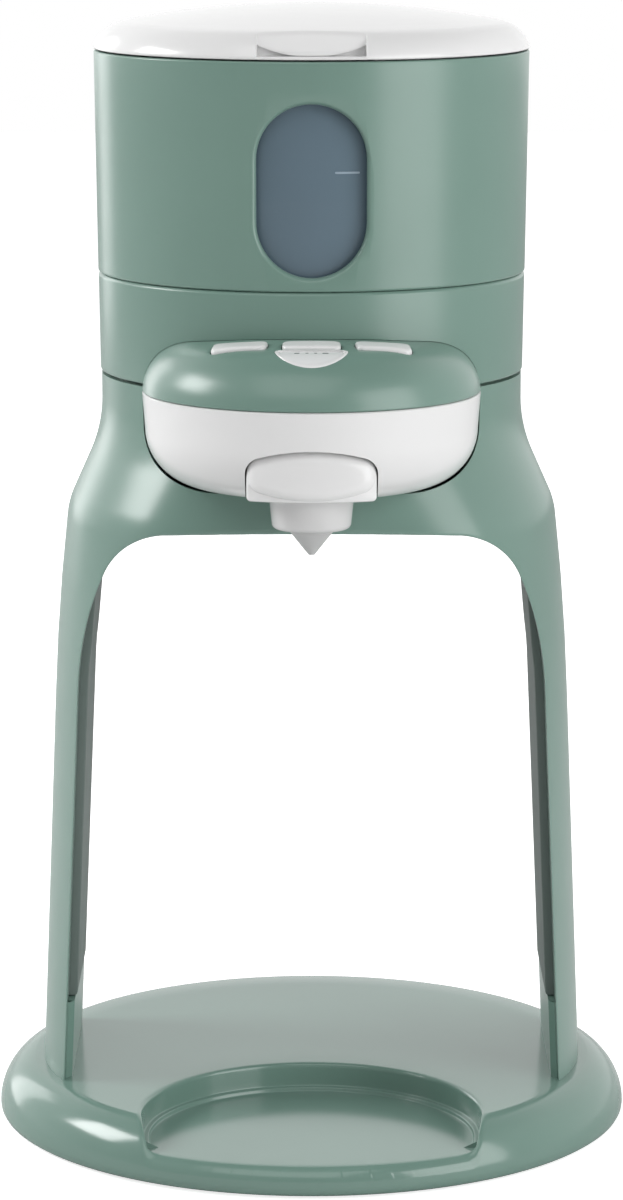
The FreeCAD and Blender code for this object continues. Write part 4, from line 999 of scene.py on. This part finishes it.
def cross_bar(name, radius, half):
    """A round bar along the hinge's axis with bevelled ends."""
    edge = 0.3
    rings = []
    for x, size in ((-half, radius - edge), (-half + edge, radius), (half - edge, radius),
                    (half, radius - edge)):
        rings.append([(x, HINGE_Y + size * math.cos(math.tau * step / 48),
                       HINGE_Z + size * math.sin(math.tau * step / 48)) for step in range(48)])
    return loft(name, rings)


def build_lid():
    """The lid as one closed skin, with its notch, skirt and hinge knuckle."""
    radii = lid_radii()
    lid = wrapped("lid_shell", [lid_line(column, radii) for column in lid_columns()], 35)
    carve(lid, block("hinge_gap", (-15, 50, 328), (15, 80, LID_SEAT)))
    half, low, high = 7.5, HINGE_Z - 1.4, HINGE_Z + 1.4
    corners = ((-half, low), (half, low), (half, high), (-half, high))
    arm = loft("hinge_arm", [[(x, y, z) for x, z in corners] for y in (63.4, HINGE_Y)])
    carve(lid, arm, "UNION")
    carve(lid, cross_bar("knuckle", 2.8, half), "UNION")
    carve(lid, cross_bar("hinge_bore", 1.25, 20))
    dress(lid, "lid", gloss_white, "lid_cover")


def build_level_mark():
    """Plain line on the tank's wall, seen through the window."""
    mark = plug("level_mark", rounded_box(3.6, 0.3, 0.28, 10.4, 298.1),
                [(0, -0.4), (0, 0.05), (0.1, 0.1)], before_wall(lambda z: 61.2))
    dress(mark, "tank", level_print)


build_lid()
build_level_mark()


# ---------------------------------------------------------------- pod

cap_dome = cap_line(0, POD_SEAM)
# Keys: place, half width and turn in degrees.
KEYS = {"left": (-20.85, -71.0, 8.05, -8), "centre": (0, -73.4, 8.45, 0),
        "right": (20.85, -71.0, 8.05, 8)}
KEY_DEPTH, KEY_CORNER, KEY_GAP = 3.6, 2.2, 0.3
KEY_LIP = ((0, -12), (0, -0.35), (-0.12, -0.1), (-0.35, 0.03), (-0.35, 3))
KEY_TOP = ((0, -5), (0, 0.1), (0.07, 0.5), (0.28, 0.78), (0.65, 0.91), (1.2, 0.95))
DISPLAY_RADIUS, DISPLAY_BACK, DISPLAY_SIDE = 9.5, -78.2, -79.4
# Display marks: place across and half width.
MARKS = ((-4.2, 0.75), (-1.3, 0.45), (1.2, 0.45), (4.0, 0.9))
MARK_Y = -80.7
CORNER, SIDE_DROP = 4.8, 6.8


def over_dome(x, y, depth):
    """Placer for plug: the point over (x, y) at a depth outside the pod's cover."""
    return (x, y, height_on(cap_dome, math.hypot(x, y - POD_Y)) + depth)


def cut_back(piece):
    """Cut off the part of the pod that would lie inside the housings."""
    carve(piece, block("behind", (-70, -36, 190), (70, 60, 270)))


def key_outline(side, grow):
    """Plan of a key, grown by a distance and turned to follow the pod's front."""
    x, y, half, turn = KEYS[side]
    turn = Matrix.Rotation(math.radians(turn), 2)
    middle = Vector((x, y))
    return [middle + turn @ spot
            for spot in rounded_box(half + grow, KEY_DEPTH + grow, KEY_CORNER + grow)]


def half_disc(grow, back):
    """Outline of the display: a half disc with its flat side at the back, anticlockwise."""
    radius, chord, corner = DISPLAY_RADIUS + grow, DISPLAY_BACK + back, 1.2
    line = trace([(-radius + corner, chord), (-radius, DISPLAY_SIDE, 1.4),
                  (radius, DISPLAY_SIDE, radius + 0.1), (radius - corner, chord, 1.4),
                  (-radius + corner, chord)], 6)
    return even(line[:-1], 1)


def crown(half, grow):
    """Radius, end and fall of the flat arc that joins an outline's two upper corners."""
    corner, drop = CORNER + grow, SIDE_DROP + grow
    reach = half - corner
    radius = (reach ** 2 + drop ** 2 - corner ** 2) / (2 * (drop - corner))
    share = radius / (radius - corner)
    return radius, reach * share, radius - (radius - drop) * share


def tab_outline(half, low, high, foot, grow=0):
    """Crowned top, upright sides and small foot corners, anticlockwise."""
    radius, end, fall = crown(half, grow)
    side, corner = high - SIDE_DROP - grow, CORNER + grow
    line = trace([(-half + foot, low), (half - foot, low), (half, low + foot, foot), (half, side),
                  (end, high - fall, corner), (-end, high - fall, radius),
                  (-half, side, corner), (-half, low + foot), (-half + foot, low, foot)], 4)
    return even(line[:-1], 1)


def build_cap():
    """The pod's green cover with holes for the keys and the display."""
    shell = cap_dome[:-1] + soften(trace([
        (50, POD_SEAM + 0.45), (49.6, POD_SEAM), (47.6, POD_SEAM), (47.2, 234.4), (34, 245.9),
        (0, 248.6)]), 0.4, False)
    cap = turned("pod_cover", [spot for spot in shell if spot != cap_dome[-1]], POD_Y)
    for side in KEYS:
        carve(cap, plug("key_hole", key_outline(side, KEY_GAP), KEY_LIP, over_dome))
    carve(cap, plug("display_hole", half_disc(1.1, 0.55), [(0, -12), (0, 3)], over_dome))
    cut_back(cap)
    dress(cap, "stand", sage, "pod_cap")


def build_bowl():
    """The pod's white bowl with the walled slot that takes the spout."""
    seam = POD_SEAM - 0.1
    section = [*bowl_line(0, seam)[:-1], *soften(trace([
        (50, POD_SEAM - 0.5), (49.6, seam), (47.5, seam), (46.8, 222.1), (32.2, 207.5),
        (0, 207.5)]), 0.4, False)]
    bowl = turned("pod_basin", section, POD_Y)
    before_bowl = before_wall(lambda z: 49.6, POD_Y)
    walls = plug("slot_walls", tab_outline(21.1, 199, 223.4, 2, 2.4), [(0, -28), (0, 2)],
                 before_bowl)
    brim = POD_SEAM - 0.5
    core = turned("bowl_core", bowl_line(-0.3, brim) + [Vector((0, brim))], POD_Y, POD_STEPS)
    carve(walls, core, "INTERSECT")
    carve(bowl, walls, "UNION")
    carve(bowl, plug("slot_cut", tab_outline(19.1, 197, 221.4, 2, 0.4),
                     [(0, -38), (0, -0.9), (-0.15, -0.45), (-0.5, 0.02), (-0.5, 8)],
                     before_bowl))
    cut_back(bowl)
    dress(bowl, "stand", gloss_white, "pod_bowl")


def build_keys():
    """Three keys, each with softened edges and a crowned top."""
    for side in KEYS:
        key = plug(f"key_{side}", key_outline(side, 0), KEY_TOP, over_dome)
        dress(key, f"key_{side}", gloss_white, f"button_{side}")


def build_display():
    """The display's face, its plain marks and the ring around it."""
    face = plug("display_face", half_disc(0, 0),
                [(0, -7), (0, -0.3), (0.15, -0.14), (0.5, -0.08)], over_dome)
    dress(face, "stand", display_white, "display_lens")
    for number, (x, half) in enumerate(MARKS):
        mark = plug(f"display_mark_{number}", rounded_box(half, 0.45, 0.3, x, MARK_Y),
                    [(0, -0.4), (0, -0.06), (0.08, -0.04)], over_dome, 2)
        dress(mark, "stand", liner_plastic)
    ring = plug("display_ring", half_disc(1.05, 0.45),
                [(0, -6), (0, -0.05), (0.15, 0.2), (0.45, 0.28), (0.8, 0.22), (0.95, 0)],
                over_dome)
    carve(ring, plug("bezel_hole", half_disc(0.1, 0.1), [(0, -12), (0, 4)], over_dome))
    dress(ring, "stand", gloss_white, "display_bezel")


build_cap()
build_bowl()
build_keys()
build_display()


# ---------------------------------------------------------------- spout

SPOUT_Y = -77.5


def pad_outline(half, low, high):
    """Crowned above and below alike, anticlockwise."""
    radius, end, fall = crown(half, 0)
    line = trace([(-half, low + SIDE_DROP), (-end, low + fall, CORNER), (end, low + fall, radius),
                  (half, low + SIDE_DROP, CORNER), (half, high - SIDE_DROP),
                  (end, high - fall, CORNER), (-end, high - fall, radius),
                  (-half, high - SIDE_DROP, CORNER), (-half, low + SIDE_DROP)], 4)
    return even(line[:-1], 1)


def pad_radius(z):
    """Radius of the finger pad's front, which bulges in the middle of its height."""
    return 48.9 - 0.012 * (z - 210) ** 2


def build_carrier():
    """The tee-shaped carrier: its skirt, and the finger pad that stands proud of it."""
    carrier = plug("spout_body", tab_outline(18.7, 206.3, 220, 1.2),
                   [(0, -25), (0, -0.8), (0.1, -0.4), (0.35, -0.1), (0.8, 0)],
                   before_wall(lambda z: 47.3, POD_Y))
    pad = plug("finger_pad", pad_outline(18.65, 206.6, 221),
               [(0, -24), (0, -2.4), (0.1, -1.9), (0.4, -1.2), (1.0, -0.6), (1.8, -0.2),
                (2.8, -0.03), (3.8, 0)], before_wall(pad_radius, POD_Y))
    carve(carrier, pad, "UNION")
    dress(carrier, "spout", gloss_white, "spout_carrier")


def build_nozzle():
    """The round nozzle under the carrier, and its soft tip."""
    line = soften(trace([(4, 197), (10.6, 197), (11.55, 198.4, 1.5), (12.35, 206.3),
                         (10, 206.3), (9.6, 199), (4, 199)]), 0.4)
    # The nozzle takes the darker white, painted shade for its place under the bowl.
    dress(turned("spout_nozzle", line, SPOUT_Y, 128), "spout", shaded_nozzle_white, "nozzle")
    line = soften(trace([(0.7, 189), (0.9, 189), (6.3, 195.8), (6.3, 196.9), (3.8, 196.9),
                         (3.8, 199.1), (0.7, 199.1)]), 0.3)
    dress(turned("spout_tip", line, SPOUT_Y, 96), "spout", tip_rubber, "nozzle_tip")


build_carrier()
build_nozzle()


# ---------------------------------------------------------------- stage, light and camera

FLOOR_HALF = 4
FLOOR_SHADE, FLOOR_GLOW = (0.8, 0.8, 0.8), 0.8
MIDDLE = (0, 0, 0.2)
CAMERA_PLACE, CAMERA_TILT = (0, -1.33467, 0.4069), 10.4253
SENSOR_WIDTH, FOCAL_LENGTH = 36, 132


def backdrop_material():
    """Pale and plain; it glows a little towards the camera so that only shadows show on it."""
    material = bpy.data.materials.new("backdrop")
    material.use_nodes = True
    tree = material.node_tree
    tree.nodes.clear()
    output = tree.nodes.new("ShaderNodeOutputMaterial")
    matt = tree.nodes.new("ShaderNodeBsdfDiffuse")
    matt.inputs["Color"].default_value = (*FLOOR_SHADE, 1)
    glow = tree.nodes.new("ShaderNodeEmission")
    both = tree.nodes.new("ShaderNodeAddShader")
    path = tree.nodes.new("ShaderNodeLightPath")
    seen = spread(tree, path.outputs["Is Camera Ray"], 0, FLOOR_GLOW)
    tree.links.new(seen, glow.inputs["Strength"])
    tree.links.new(matt.outputs[0], both.inputs[0])
    tree.links.new(glow.outputs[0], both.inputs[1])
    tree.links.new(both.outputs[0], output.inputs["Surface"])
    return material


def build_floor(half):
    """A square of plain floor, in metres."""
    mesh = bpy.data.meshes.new("floor")
    corners = [(-half, -half, 0), (half, -half, 0), (half, half, 0), (-half, half, 0)]
    mesh.from_pydata(corners, [], [[0, 1, 2, 3]])
    mesh.materials.append(backdrop_material())
    piece = bpy.data.objects.new("floor", mesh)
    bpy.context.scene.collection.objects.link(piece)
    piece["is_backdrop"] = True


def studio_world(before, behind):
    """White to the camera; dim in front of the machine and bright behind it for all else."""
    world = bpy.data.worlds.new("studio")
    bpy.context.scene.world = world
    world.use_nodes = True
    tree = world.node_tree
    sky = tree.nodes["Background"]
    sky.inputs["Color"].default_value = (1, 1, 1, 1)
    where = tree.nodes.new("ShaderNodeTexCoord").outputs["Generated"]
    parts = tree.nodes.new("ShaderNodeSeparateXYZ")
    tree.links.new(where, parts.inputs["Vector"])
    depth = spread(tree, parts.outputs["Y"], before, behind, -0.8, 0.9, "SMOOTHSTEP")
    overhead = spread(tree, parts.outputs["Z"], 1, 0.1, 0.6, 0.95)
    dimmed = tree.nodes.new("ShaderNodeMath")
    dimmed.operation = "MULTIPLY"
    tree.links.new(depth, dimmed.inputs[0])
    tree.links.new(overhead, dimmed.inputs[1])
    path = tree.nodes.new("ShaderNodeLightPath")
    level = tree.nodes.new("ShaderNodeMix")
    level.inputs["B"].default_value = 1.0
    tree.links.new(path.outputs["Is Camera Ray"], level.inputs["Factor"])
    tree.links.new(dimmed.outputs["Value"], level.inputs["A"])
    tree.links.new(level.outputs["Result"], sky.inputs["Strength"])


def softbox(name, where, size, power):
    """A rectangular lamp aimed at the machine's middle."""
    lamp = bpy.data.lights.new(name, "AREA")
    lamp.shape = "RECTANGLE"
    lamp.size, lamp.size_y = size
    lamp.energy = power
    piece = bpy.data.objects.new(name, lamp)
    bpy.context.scene.collection.objects.link(piece)
    piece.location = where
    aim = Vector(MIDDLE) - Vector(where)
    piece.rotation_euler = aim.to_track_quat("-Z", "Y").to_euler()


def photo_camera():
    """The camera at the photograph's place and angle."""
    data = bpy.data.cameras.new("camera")
    data.sensor_width = SENSOR_WIDTH
    data.lens = FOCAL_LENGTH
    camera = bpy.data.objects.new("camera", data)
    bpy.context.scene.collection.objects.link(camera)
    camera.location = CAMERA_PLACE
    camera.rotation_euler = (math.radians(90 - CAMERA_TILT), 0, 0)
    return camera


build_floor(FLOOR_HALF)
studio_world(0.21, 1.08)
softbox("right_window", (1.15, -0.85, 0.5), (1.0, 1.3), 13)
softbox("left_window", (-1.39, 0.10, 0.97), (0.7, 0.55), 13)
softbox("left_strip", (-1.3, 1.6, 0.35), (0.6, 1.6), 6)
softbox("front_top", (-0.25, -1.0, 1.55), (1.4, 1.4), 7.5)
bpy.context.scene.camera = photo_camera()
bpy.context.scene.view_settings.view_transform = "Standard"

boxes = {"cad": cad_box, "looks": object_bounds()}
{key: [list(corner) for corner in box] for key, box in boxes.items()}
